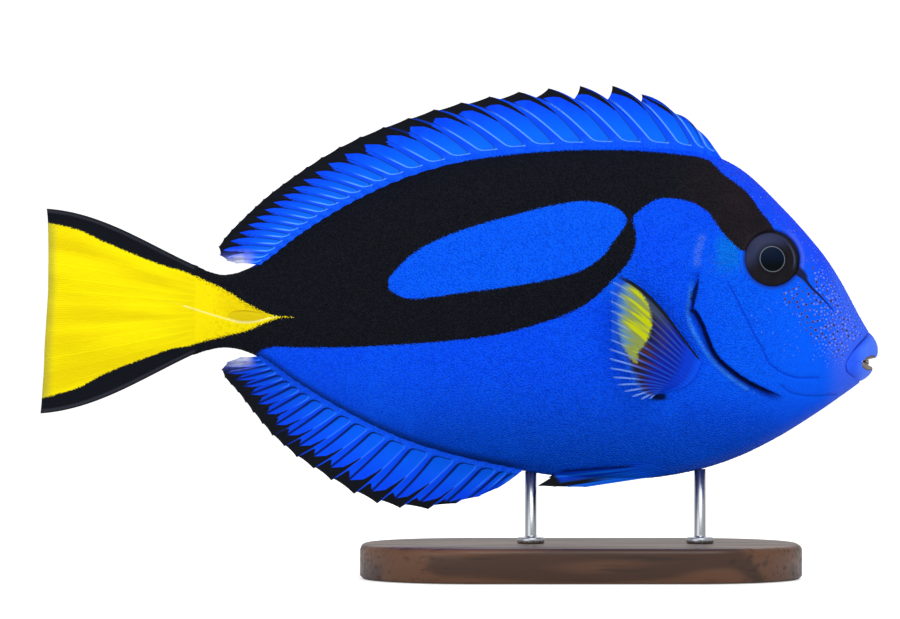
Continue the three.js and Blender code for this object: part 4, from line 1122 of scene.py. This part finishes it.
sway = {"reach": 0.5, "length": 9}


def wave(middle, grid):
    t = np.clip(grid["along"], 0, 1)
    y = sway["reach"] * t * t * np.sin(middle[..., 0] / sway["length"])
    return np.stack([0 * y, y, 0 * y], -1)


# Web between the rays: sheath, fingers of blue, the thin lines along them and the black margin
webLooks = {
    "dorsal": {"corner": 1.2, "pale": 0.17, "paleShare": 0.75, "paleFoot": -1.0, "paleTint": (96, 165, 255),
               "paleFront": False,
               "dark": 0.12, "darkShare": 0.6, "darkTint": (24, 52, 84), "darkMix": 0.7, "drift": 0.0,
               "cellMix": 1.0, "rearMix": 0.0, "wedge": 0.36, "spike": 0.5, "last": 28, "fingers": 2.4,
               "fingersFrom": 7},
    "anal": {"corner": 1.3, "pale": 0.13, "paleShare": 0.7, "paleFoot": 0.6, "paleTint": (50, 124, 255),
             "paleFront": True,
             "dark": 0.3, "darkShare": 1.2, "darkTint": (2, 14, 62), "darkMix": 0.9, "drift": 0.42,
             "cellMix": 0.75, "rearMix": 0.4, "wedge": 0.3, "spike": 1.0, "last": 20, "fingers": 3.0,
             "fingersFrom": 2},
}


def webMaterial(name, look):
    s = newMaterial(name)
    along, behind, before, band, cell, foot, toBlack, index = (s.attribute(k) for k in webMarks)
    grain = s.noise(2200, 2)
    streak = s.noise(300, 3)
    fromFront = s.math("SUBTRACT", behind, band)
    fromRear = s.math("SUBTRACT", before, band)
    rearSide = s.math("SUBTRACT", fromRear, s.times(cell, along, look["drift"]))
    paleSide, darkSide = (fromFront, rearSide) if look["paleFront"] else (rearSide, fromFront)
    phase = s.math("DIVIDE", behind, cell, clamp=True)
    inCell = s.times(s.step(fromFront, -0.1, 0.1), s.step(rearSide, -0.1, 0.1), s.step(foot, -0.1, 0.1),
                     look["cellMix"])
    blue = s.mix(s.step(grain, 0.4, 0.7, 0, 0.5), srgb(0, 80, 250), srgb(26, 112, 255))
    blue = s.over(blue, (0, 76, 250), s.step(foot, 0.0, 2.5))
    webBlue = s.mix(s.step(along, 0.1, 0.75), srgb(0, 104, 255), srgb(0, 66, 252))
    webBlue = s.over(webBlue, (0, 94, 255), s.step(streak, 0.35, 0.7, 0, 0.35))
    blue = s.mix(inCell, blue, webBlue)
    blue = s.over(blue, (0, 40, 170), s.step(index, 8, 15), look["rearMix"])
    # pale line along one side of each cell and, on the dorsal fin, round its foot
    rounded = s.corner(paleSide, foot, look["corner"])
    pale = s.times(s.line(rounded, look["pale"], 0.7),
                   s.step(s.add(along, s.step(index, 7, 14, 0, 0.35)), look["paleShare"],
                          look["paleShare"] - 0.25),
                   s.step(darkSide, -0.2, 0.1), s.step(foot, look["paleFoot"] - 0.3, look["paleFoot"]))
    blue = s.over(blue, look["paleTint"], pale, 0.9)
    # dark line along the other side
    rounded = s.corner(darkSide, foot, look["corner"])
    dark = s.times(s.line(rounded, look["dark"], 0.6),
                   s.step(along, look["darkShare"], look["darkShare"] - 0.2),
                   s.step(paleSide, -0.1, 0.2), s.step(paleSide, 0.3, 1.2), s.step(foot, -0.2, 0.2))
    blue = s.over(blue, look["darkTint"], dark, look["darkMix"])
    # black margin, its wedges along the rays and the thin blue of the spines through it
    nearRay = s.math("MINIMUM", behind, before)
    off = s.math("ABSOLUTE", s.math("MULTIPLY_ADD", phase, 2.0, -1.15))
    fingers = s.times(off, s.step(index, look["fingersFrom"], look["fingersFrom"] + 5, 0, look["fingers"]))
    bent = s.add(s.times(off, off, s.step(index, look["fingersFrom"], look["fingersFrom"] + 5, 0.9, 0.0)),
                 fingers)
    blackness = s.math("SUBTRACT", bent, toBlack)
    blackness = s.math("SUBTRACT", blackness,
                       s.times(s.step(nearRay, 0.5, 0.1), s.step(index, 16, 10, 0, look["spike"])))
    inner = s.step(along, 0.5, 0.3)
    wedges = [(fromFront, look["wedge"], 0.3)]
    if not look["paleFront"]:
        wedges += [(fromRear, 0.14, 0.5)]
    for fromRay, share, low in wedges:
        wedge = s.times(cell, share, s.step(along, low, 1.0), s.step(index, 2.0, 4.0))
        wedge = s.math("MINIMUM", s.math("SUBTRACT", wedge, fromRay), s.add(fromRay, 0.06))
        blackness = s.math("MAXIMUM", blackness, s.math("SUBTRACT", wedge, inner))
    black = s.ragged(blackness, 0.35, 0.12)
    spiny = s.times(s.step(index, 12, 8), s.step(s.math("SUBTRACT", nearRay, s.times(band, 0.85)), 0.03, -0.05),
                    s.step(along, 0.97, 0.88))
    black = s.times(black, s.math("MULTIPLY_ADD", spiny, -0.85, 1.0))
    corner = s.times(s.step(index, look["last"] - 2.6, look["last"] - 0.4), s.step(along, 0.15, 0.6))
    blue = s.over(blue, (206, 212, 232), corner, s.step(streak, 0.3, 0.6, 0.4, 0.9))
    black = s.times(black, s.math("MULTIPLY_ADD", corner, -0.75, 1.0))
    colour = s.mix(black, blue, colours["black"])
    s.bump(s.add(grain, s.times(streak, 0.8)), 0.3, 0.08)
    return s.finish(colour, roughness=0.58, specular=0.06)


print("fins")
dorsalRays = finRays(dorsal, back, 1)
analRays = finRays(anal, belly, -1)
dorsalFin = makeFin("dorsalFin", dorsalRays, dorsal, webMaterial("dorsal web", webLooks["dorsal"]),
                    medianMarkings(dorsal), wave)
analFin = makeFin("analFin", analRays, anal, webMaterial("anal web", webLooks["anal"]), medianMarkings(anal),
                  wave)


# The tail fin grows out of the stalk's end: hidden under its skin, then as thick as it, then a blade
stalkEnd = {"x": -70.0, "bladeX": -88, "over": 0.04, "sunk": 0.3, "shownX": -69.6, "hiddenX": -68.8}


def growFromStalk(x, z, half):
    e = stalkEnd
    inStalk = flankAt(np.maximum(x, e["x"]), np.clip(z, belly(e["x"]), back(e["x"])))
    inStalk = inStalk + e["over"] - e["sunk"] * smoothStep(e["shownX"], e["hiddenX"], x)
    return half + (np.maximum(inStalk, half) - half) * smoothStep(e["bladeX"], e["x"], x) ** 1.5


tail = {
    "rays": 16, "rows": 70, "web": 12, "rayHalf": 0.2, "ridge": 0.1, "blade": 0.22, "rootHalf": 0.0,
    "fleshy": 0.35, "stalk": growFromStalk, "bend": 1.4, "folds": 0.55, "smallFolds": 0.2,
    "rearEnd": 1.0, "bandWidest": 0.5, "bandShare": 0.2,
    "marks": ("along", "rayIndex", "yellow", "toRim", "spineLine"),
    "margin": [(-108.6, 97.0), (-108.2, 90), (-108.2, 78), (-108.9, 65), (-109.4, 55), (-110.2, 43.2)],
    "root": [(-67.4, 81.0), (-67.4, 60.0)],
}
tailShare = sharesOf(tail["rays"])
tailRays = {
    "root": curveAt(tail["root"])(tailShare), "tip": curveAt(tail["margin"])(tailShare), "turn": 1, "late": 0.8,
    "bow": np.sign(tailShare - 0.5) * 0.043 * (np.abs(tailShare - 0.5) * 2) ** 2.2,
    "notch": np.ones(tail["rays"]),
}


def tailMarkings(x, z, grid):
    rim = np.minimum(grid["rayIndex"], tail["rays"] - 1 - grid["rayIndex"]) * grid["cellWidth"]
    return {"yellow": insideBy(yellowWedge, x, z), "toRim": rim, "spineLine": signedDistance(spineLine, x, z)}


def tailMaterial():
    s = newMaterial("tail web")
    grain = s.noise(1800, 2)
    along, fan = s.attribute("along"), s.attribute("rayIndex")
    fine = s.math("SINE", s.math("MULTIPLY", fan, 37.7))
    finest = s.math("SINE", s.math("MULTIPLY", fan, 75.4))
    onFan = s.node("ShaderNodeCombineXYZ", {0: s.times(fan, 0.42), 1: s.times(along, 0.9)}).outputs[0]
    folds = s.noise(1.0, 1.5, vector=onFan)
    rear = s.step(along, 0.05, 0.3)
    # painted shade of broad folds: darker yellow streaks across the fan
    yellow = s.mix(s.times(rear, s.step(folds, 0.42, 0.64, 0, 0.75)),
                   s.mix(rear, colours["yellow"], srgb(255, 238, 0)), srgb(228, 204, 0))
    yellow = s.over(yellow, (212, 188, 0), s.step(fine, 0.2, 1.0), s.step(along, 0.3, 0.7, 0.1, 0.3))
    fringe = s.step(s.math("MULTIPLY_ADD", finest, 0.012, along), 0.93, 0.995)
    yellow = s.over(yellow, (150, 148, 60), fringe, 0.6)
    yellow = s.over(yellow, (255, 246, 150), s.line(s.attribute("spineLine"), 0.2, 0.8), 0.7)
    edge = s.ragged(s.attribute("yellow"), 1.1, 0.2)
    # painted sheen: a lighter grey line along the black top and bottom edges
    black = s.mix(s.times(s.line(s.math("SUBTRACT", s.attribute("toRim"), 0.5), 0.4, 0.6), 0.4),
                  colours["black"], srgb(66, 66, 78))
    colour = s.mix(edge, black, yellow)
    s.bump(s.add(s.times(fine, 0.5), s.add(grain, s.times(finest, 0.3))), 0.4, 0.1)
    return s.finish(colour, roughness=0.6, specular=0.05)


def tailBend(middle, grid):
    t, fan = grid["along"], grid["rayIndex"]
    y = tail["bend"] * t * t + tail["folds"] * t * np.sin(fan * 1.05 + 0.6)
    y = y + tail["smallFolds"] * t * np.sin(fan * 2.3)
    return np.stack([0 * y, y, 0 * y], -1)


tailFin = makeFin("tailFin", tailRays, tail, tailMaterial(), tailMarkings, tailBend)

pectoral = {
    "rays": 17, "flare": 20, "sunk": 0.6, "over": 0.5, "rows": 56, "web": 8, "rayHalf": 0.13, "ridge": 0.14,
    "blade": 0.12, "rootHalf": 0.75, "fleshy": 0.28, "rearEnd": 0.96, "bandWidest": 0.22, "bandShare": 0.2,
    "marks": ("along", "behind", "before", "rayIndex", "yellow"),
    "margin": [(40.4, 79.8), (38.0, 77.0), (38.4, 71.6), (38.4, 67.6), (38.5, 63.9), (38.3, 59.9), (38.4, 56.4),
               (39.3, 52.8), (41.7, 50.0), (44.0, 48.1), (47.1, 47.0), (49.7, 47.2)],
    "root": [(63.2, 56.9), (61.8, 53.5), (59.2, 50.6), (55.6, 49.4), (52.9, 48.7)],
}
pectoralYellow = curvePoints([
    (42.8, 77.5), (45.2, 77.6), (46.4, 75.9), (47.5, 74.2), (48.7, 72.3), (49.5, 70.5), (49.9, 67.9),
    (49.8, 65.8), (49.2, 63.9), (48.6, 62.0), (47.3, 60.4), (46.4, 59.1), (46.1, 56.8), (45.0, 57.3),
    (43.5, 59.2), (42.4, 61.1), (41.4, 64.4), (40.8, 67.6), (40.5, 70.5), (40.7, 72.8), (41.4, 75.2),
    (42.1, 76.8),
], 6, closed=True)
pectoralShare = sharesOf(pectoral["rays"])
pectoralRays = {
    "root": curveAt(pectoral["root"])(pectoralShare), "tip": curveAt(pectoral["margin"])(pectoralShare),
    "turn": 1, "late": 0.8 - 1.3 * pectoralShare, "notch": np.full(pectoral["rays"], 0.96),
    "bow": -0.066 * (1 - pectoralShare) ** 2.2 - 0.11 * pectoralShare**3,
}


def pectoralMarkings(x, z, grid):
    return {"yellow": insideBy(pectoralYellow, x, z)}


def pectoralFit(side):
    def fit(middle, grid):
        rootX, rootZ = middle[:, :1, 0], middle[:, :1, 2]
        reach = np.hypot(middle[..., 0] - rootX, middle[..., 2] - rootZ)
        lift = math.tan(math.radians(pectoral["flare"])) * reach * (1 - 0.012 * reach)
        # the base starts under the skin
        above = (pectoral["over"] + pectoral["sunk"]) * smoothStep(0.0, 0.2, grid["along"]) - pectoral["sunk"]
        y = flankAt(rootX, rootZ) + above + lift
        middle[..., 1] = side * np.maximum(y, flankAt(middle[..., 0], middle[..., 2]) + above)
        return middle
    return fit


def pectoralMaterial():
    s = newMaterial("pectoral web")
    along, behind, before, fan = (s.attribute(k) for k in ("along", "behind", "before", "rayIndex"))
    grain = s.noise(2200, 2)
    near = s.math("MINIMUM", behind, before)
    ray = s.times(s.step(near, 0.34, 0.1), s.step(along, 0.12, 0.24))
    onFan = s.node("ShaderNodeCombineXYZ", {0: s.times(fan, 1.6), 1: s.times(along, 2.2)}).outputs[0]
    streaks = s.noise(1.0, 2, vector=onFan)
    reddish = s.mix(s.step(streaks, 0.45, 0.65), srgb(24, 26, 44), srgb(76, 38, 52))
    web = s.mix(s.step(s.add(along, s.times(streaks, 0.2)), 0.42, 0.68), srgb(0, 30, 158), reddish)
    rayBlue = s.mix(s.step(along, 0.45, 0.8), srgb(24, 74, 208), srgb(118, 142, 216))
    rayBlue = s.over(rayBlue, (62, 80, 132), s.step(fan, 7, 4), s.step(along, 0.2, 0.4))
    colour = s.mix(s.times(ray, 0.85), web, rayBlue)
    colour = s.over(colour, (62, 76, 104), s.step(fan, 1.9, 0.9), s.step(along, 0.3, 0.6), 0.8)
    # yellow, streaked along the rays and paler outwards, then a clear blue edge with the ray ends in it
    dull = s.step(s.add(streaks, s.step(along, 0.6, 0.9, -0.04, 0.14)), 0.4, 0.58)
    gold = s.mix(dull, srgb(194, 204, 8), srgb(138, 154, 76))
    outer = s.step(s.math("MULTIPLY_ADD", streaks, 0.5, along), 1.0, 1.18)
    gold = s.mix(outer, gold, s.mix(ray, srgb(64, 132, 196), srgb(150, 178, 190)))
    yellow = s.ragged(s.attribute("yellow"), 1.6, 0.5, Scale=1500.0)
    colour = s.mix(yellow, colour, gold)
    reach = s.add(s.math("MULTIPLY_ADD", streaks, 0.2, along), s.step(fan, 6, 11, 0.0, 0.26))
    outer = s.step(reach, 0.92, 1.05)
    colour = s.mix(outer, colour, s.mix(ray, srgb(16, 96, 236), srgb(120, 160, 240)))
    blues = s.grouped(bodyBlue.tree, {"Mottle": 0.2})["Blue"]
    blues = s.over(blues, (0, 44, 196), s.step(along, 0.0, 0.1, 0.1, 0.7))
    colour = s.mix(s.step(along, 0.24, 0.13), colour, blues)
    colour = s.over(colour, (14, 22, 34), s.step(fan, 0.5, 0.25), s.step(along, 0.0, 0.06))
    s.bump(grain, 0.25, 0.05)
    clear = s.math("MAXIMUM", s.step(reach, 0.92, 1.1, 1.0, 0.0),
                   s.times(ray, s.step(along, 0.8, 1.0, 0.9, 0.2)))
    return s.finish(colour, roughness=0.5, specular=0.08, Alpha=clear)


pectoralFinish = pectoralMaterial()
pectorals = {
    side: makeFin("pectoralLeft" if side > 0 else "pectoralRight", pectoralRays, pectoral, pectoralFinish,
                  pectoralMarkings, None, pectoralFit(side))
    for side in (1, -1)
}

pelvic = {
    "rays": 6, "thin": 1.6, "sunk": 0.6, "rise": 1.5, "rows": 48, "web": 8, "rayHalf": 0.16, "ridge": 0.16,
    "blade": 0.14, "rootHalf": 0.5, "fleshy": 0.4, "rearEnd": 0.99, "bandWidest": 0.3, "bandShare": 0.2,
    "marks": ("along", "behind", "before", "rayIndex"),
    "root": [(57.0, 27.6), (54.0, 28.6), (50.4, 29.8)],
    "tip": [(32.6, 23.8), (24.6, 23.9), (20.4, 24.2), (23.4, 26.3), (26.8, 28.3)],
}
pelvicShare = sharesOf(pelvic["rays"])
pelvicRays = {
    "root": curveAt(pelvic["root"])(pelvicShare), "tip": curveAt(pelvic["tip"])(pelvicShare), "turn": -1,
    "late": 0.0, "bow": np.zeros(pelvic["rays"]), "notch": np.full(pelvic["rays"], 0.96),
}


def pelvicFit(side):
    def fit(middle, grid):
        x, t = middle[..., 0], grid["along"]
        skinY = flankAt(x, np.maximum(middle[..., 2], belly(x) + 0.4))
        lift = pelvic["rise"] * np.minimum(t * 3, 1) - pelvic["sunk"]
        middle[..., 1] = side * (np.maximum(skinY, pelvic["thin"]) + lift)
        return middle
    return fit


def pelvicMaterial():
    s = newMaterial("pelvic web")
    x, y, z = s.xyz()
    along, fan = s.attribute("along"), s.attribute("rayIndex")
    near = s.math("MINIMUM", s.attribute("behind"), s.attribute("before"))
    blue = s.mix(s.step(near, 0.35, 0.15, 0, 0.6), srgb(0, 62, 216), srgb(10, 130, 255))
    blue = s.mix(s.step(along, 0.1, 0.5), srgb(0, 76, 226), blue)
    # the black reaches far forward between two blue streaks, and covers the tip
    streak = s.times(s.step(s.math("ABSOLUTE", s.math("SUBTRACT", fan, 2.3)), 1.2, 0.5), s.step(x, 43, 33))
    tipBlack = s.step(s.math("MULTIPLY_ADD", z, 0.9, x), 50.5, 48.5)
    colour = s.mix(s.math("MAXIMUM", streak, tipBlack), blue, colours["black"])
    # painted shadow along the upper edge of the fin
    colour = s.over(colour, (0, 30, 120), s.step(fan, 4.5, 4.9), s.step(along, 0.1, 0.3))
    colour = s.mix(s.step(along, 0.2, 0.08), colour, s.grouped(bodyBlue.tree, {"Mottle": 0.2})["Blue"])
    return s.finish(colour, roughness=0.5, specular=0.08)


pelvicFinish = pelvicMaterial()
pelvics = {
    side: makeFin("pelvicLeft" if side > 0 else "pelvicRight", pelvicRays, pelvic, pelvicFinish,
                  lambda x, z, grid: {}, None, pelvicFit(side))
    for side in (1, -1)
}

# The folded spine on each side of the tail stalk
lancet = {
    "rearX": -61.7, "frontX": -47.9, "z": 69.1, "halfHeight": 1.75, "halfDepth": 0.75, "sunk": 0.35, "sag": 0.5,
    "rings": 40, "around": 20,
}


def makeLancet(side, material):
    t = np.linspace(0, 1, lancet["rings"] + 2)[1:-1, None]
    turn = np.linspace(0, 2 * np.pi, lancet["around"], endpoint=False)[None, :]
    taper = np.sin(np.pi * t**0.75) ** 1.1
    x = lancet["rearX"] + (lancet["frontX"] - lancet["rearX"]) * t + 0 * turn
    z = lancet["z"] + lancet["halfHeight"] * taper * np.sin(turn) - lancet["sag"] * np.sin(np.pi * t)
    ridge = np.abs(np.cos(turn)) ** 0.8 * np.sign(np.cos(turn))
    y = flankAt(x, z) - lancet["sunk"] + lancet["halfDepth"] * taper * ridge
    ends = [[xe, flankAt(xe, lancet["z"]) - lancet["sunk"], lancet["z"]]
            for xe in (lancet["rearX"], lancet["frontX"])]
    flat, faces = tubeOf(np.stack([x, y, z], -1), *np.array(ends, float))
    flat = flat * np.array([1, side, 1])
    share = np.append(np.repeat(np.sin(turn), len(t), 0).ravel(), [0, 0])
    return meshObject("tailSpineLeft" if side > 0 else "tailSpineRight", flat, outward(flat, faces), material,
                      {"edge": share})


def lancetMaterial():
    s = newMaterial("tail spine")
    edge = s.attribute("edge")
    gold = s.mix(s.noise(500, 3, (0.3, 1, 1)), srgb(208, 184, 0), srgb(232, 208, 0))
    gold = s.over(gold, (255, 246, 160), s.step(edge, -0.55, -0.95))
    # painted shade along the upper edge of the spine
    gold = s.over(gold, (150, 118, 0), s.step(edge, 0.6, 0.98, 0, 0.7))
    return s.finish(gold, roughness=0.5, specular=0.08)


lancetFinish = lancetMaterial()
lancets = {side: makeLancet(side, lancetFinish) for side in (1, -1)}


# The teeth keep the solids' own shapes
def toothMaterial():
    s = newMaterial("tooth")
    ivory = s.mix(s.noise(900, 2), srgb(150, 140, 122), srgb(178, 170, 152))
    return s.finish(ivory, roughness=0.3, specular=0.4)


# The stand: a base with a soft edge, and two rods with feet
stand = {
    "x": 32, "length": 116, "width": 66, "height": 9, "corner": 30, "edge": 1.6, "radius": 1.5, "foot": 3.6,
    "footHeight": 1.6, "frontX": 63.4, "rearX": 18.9, "around": 160, "rodAround": 36, "edgeRings": 7,
    "topInsets": (0.8, 6, 14, 26),
}


def makeBase(material):
    st = stand
    turn = np.linspace(0, 2 * np.pi, st["around"], endpoint=False)[None, :]
    rolled = np.linspace(0, np.pi / 2, st["edgeRings"])
    profile = [(-st["edge"] * 0.5, 0.0), (0.0, st["edge"] * 0.5)]
    profile += [(-st["edge"] * (1 - math.cos(a)), st["height"] - st["edge"] * (1 - math.sin(a)))
                for a in rolled]
    profile += [(-st["edge"] - d, st["height"]) for d in st["topInsets"]]
    inset, high = np.array(profile).T[:, :, None]
    corner = np.maximum(st["corner"] + inset, 0.5)
    sx, sz = np.sign(np.cos(turn)), np.sign(np.sin(turn))
    x = st["x"] + sx * (st["length"] / 2 - st["corner"]) + corner * np.cos(turn)
    y = sz * (st["width"] / 2 - st["corner"]) + corner * np.sin(turn)
    rings = np.stack([x, y, high + 0 * x], -1)
    flat, faces = tubeOf(rings, (st["x"], 0, 0), (st["x"], 0, st["height"]))
    return meshObject("standBase", flat, outward(flat, faces), material)


def makeRod(name, x, material):
    st = stand
    top = float(min(belly(x - st["radius"]), belly(x + st["radius"]))) + 0.5
    low = st["height"] + 0.02
    shoulder = low + st["footHeight"]
    profile = [(st["foot"] - 0.2, low), (st["foot"], low + 0.2), (st["foot"], shoulder - 0.5),
               (st["foot"] - 0.15, shoulder - 0.15), (st["foot"] - 0.5, shoulder),
               (st["radius"] + 0.5, shoulder), (st["radius"] + 0.12, shoulder + 0.15),
               (st["radius"], shoulder + 0.5), (st["radius"], top)]
    turn = np.linspace(0, 2 * np.pi, st["rodAround"], endpoint=False)[None, :]
    r, high = np.array(profile).T[:, :, None]
    rings = np.stack([x + r * np.cos(turn), r * np.sin(turn), high + 0 * turn], -1)
    flat, faces = tubeOf(rings, (x, 0, low), (x, 0, top))
    return meshObject(name, flat, outward(flat, faces), material)


def woodMaterial():
    s = newMaterial("walnut")
    rings = s.noise(26, 3, (0.12, 1, 1))
    figure = s.math("SINE", s.math("MULTIPLY", rings, 60.0))
    pores = s.noise(700, 2, (0.05, 1, 1))
    wood = s.mix(s.step(figure, -0.8, 0.9), srgb(66, 42, 28), srgb(98, 64, 42))
    wood = s.over(wood, (38, 24, 17), s.step(pores, 0.55, 0.72, 0, 0.6))
    s.bump(s.math("SUBTRACT", figure, s.times(s.step(pores, 0.5, 0.7), 3.0)), 0.2, 0.05)
    return s.finish(wood, roughness=s.step(pores, 0.4, 0.7, 0.34, 0.5), specular=0.4)


def steelMaterial():
    s = newMaterial("brushed steel")
    brush = s.noise(1400, 2, (1, 1, 0.06))
    steel = s.mix(brush, srgb(168, 172, 178), srgb(196, 200, 205))
    s.bump(brush, 0.1, 0.02)
    return s.finish(steel, roughness=s.step(brush, 0.3, 0.7, 0.22, 0.36), specular=0.5, Metallic=1.0)


print("stand")
steelFinish = steelMaterial()
standBase = makeBase(woodMaterial())
rodFront = makeRod("rodFront", stand["frontX"], steelFinish)
rodRear = makeRod("rodRear", stand["rearX"], steelFinish)

# Camera, light and ground
view = {"centreX": -2.37, "centreZ": 70.5, "width": 236.84, "lens": 200, "sensor": 36}
camera = bpy.data.objects.new("camera", bpy.data.cameras.new("camera"))
camera.data.lens = view["lens"]
camera.data.sensor_width = view["sensor"]
camera.data.clip_end = 100
camera.location = (view["centreX"] * mm, -view["width"] * mm * view["lens"] / view["sensor"],
                   view["centreZ"] * mm)
camera.rotation_euler = (math.pi / 2, 0, 0)
bpy.context.collection.objects.link(camera)
scene = bpy.context.scene
scene.camera = camera
scene.view_settings.view_transform = "Standard"

# Each lamp has its place in metres and its power
light = {
    "world": 0.62, "floorGlow": 0.5, "size": 0.9, "target": (0, 0, 0.07),
    "lamps": {"key": ((0.25, -0.75, 1.0), 6.2), "fill": ((-0.7, -0.9, 0.35), 2.8),
              "rear": ((0.1, 0.9, 0.8), 2.4)},
}
world = bpy.data.worlds.new("studio")
world.use_nodes = True
world.node_tree.nodes["Background"].inputs["Color"].default_value = (1, 1, 1, 1)
world.node_tree.nodes["Background"].inputs["Strength"].default_value = light["world"]
scene.world = world

for name, (place, power) in light["lamps"].items():
    lamp = bpy.data.objects.new(name, bpy.data.lights.new(name, "AREA"))
    lamp.data.size = light["size"]
    lamp.data.energy = power
    lamp.location = place
    lamp.rotation_euler = (Vector(light["target"]) - Vector(place)).to_track_quat("-Z", "Y").to_euler()
    bpy.context.collection.objects.link(lamp)

# The ground runs level and then curves up behind, in metres
floor = {"radius": 2.0, "far": 4.0, "wide": 9.0, "below": 0.0002, "bends": 24}


def makeGround():
    radius, far, wide = floor["radius"], floor["far"], floor["wide"]
    profile = [(-wide, 0.0)]
    profile += [(far - radius + radius * math.sin(a), radius - radius * math.cos(a))
                for a in np.linspace(0, math.pi / 2, floor["bends"])]
    profile += [(far, wide)]
    points = [(x, y, z - floor["below"]) for y, z in profile for x in (-wide, wide)]
    s = newMaterial("ground")
    mesh = bpy.data.meshes.new("ground")
    n = len(profile)
    mesh.from_pydata(points, [], [(2 * i, 2 * i + 1, 2 * i + 3, 2 * i + 2) for i in range(n - 1)])
    seen = s.node("ShaderNodeLightPath").outputs["Is Camera Ray"]
    glow = {"Emission Color": (1.0, 1.0, 1.0), "Emission Strength": s.times(seen, light["floorGlow"])}
    mesh.materials.append(s.finish((0.9, 0.9, 0.9), roughness=0.9, specular=0.0, **glow))
    mesh.polygons.foreach_set("use_smooth", [True] * (n - 1))
    ground = bpy.data.objects.new("ground", mesh)
    bpy.context.collection.objects.link(ground)


makeGround()

# Which solids each piece stands for, and the finish it takes
standsFor = [
    (skin, "skin", ("head", "torso", "tail_stalk", "gill_cover_left", "gill_cover_right")),
    *((coat, "skin", ()) for coat in coats), (pores, "skin", ()), (papillae, "skin", ()),
    (upperLip, "skin", ("lip_upper",)), (lowerLip, "skin", ("lip_lower",)),
    (eyes[1], "eye", ("eye_left",)), (eyes[-1], "eye", ("eye_right",)),
    (dorsalFin, "fin_blue", ("dorsal_fin",)), (analFin, "fin_blue", ("anal_fin",)),
    (tailFin, "fin_yellow", ("tail_fin",)),
    (pectorals[1], "fin_pectoral", ("pectoral_fin_left",)),
    (pectorals[-1], "fin_pectoral", ("pectoral_fin_right",)),
    (pelvics[1], "fin_blue", ("pelvic_fin_left",)), (pelvics[-1], "fin_blue", ("pelvic_fin_right",)),
    (lancets[1], "spine", ("caudal_spine_left",)), (lancets[-1], "spine", ("caudal_spine_right",)),
    (standBase, "stand_wood", ("stand_base",)), (rodFront, "stand_steel", ("stand_rod_front",)),
    (rodRear, "stand_steel", ("stand_rod_rear",)),
]
for piece, slotName, nodes in standsFor:
    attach(piece, "root")
    if nodes:
        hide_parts(*nodes)
toothFinish = toothMaterial()
for name in ("teeth_upper", "teeth_lower"):
    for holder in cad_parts[name].material_slots:
        holder.material = toothFinish

print("done")
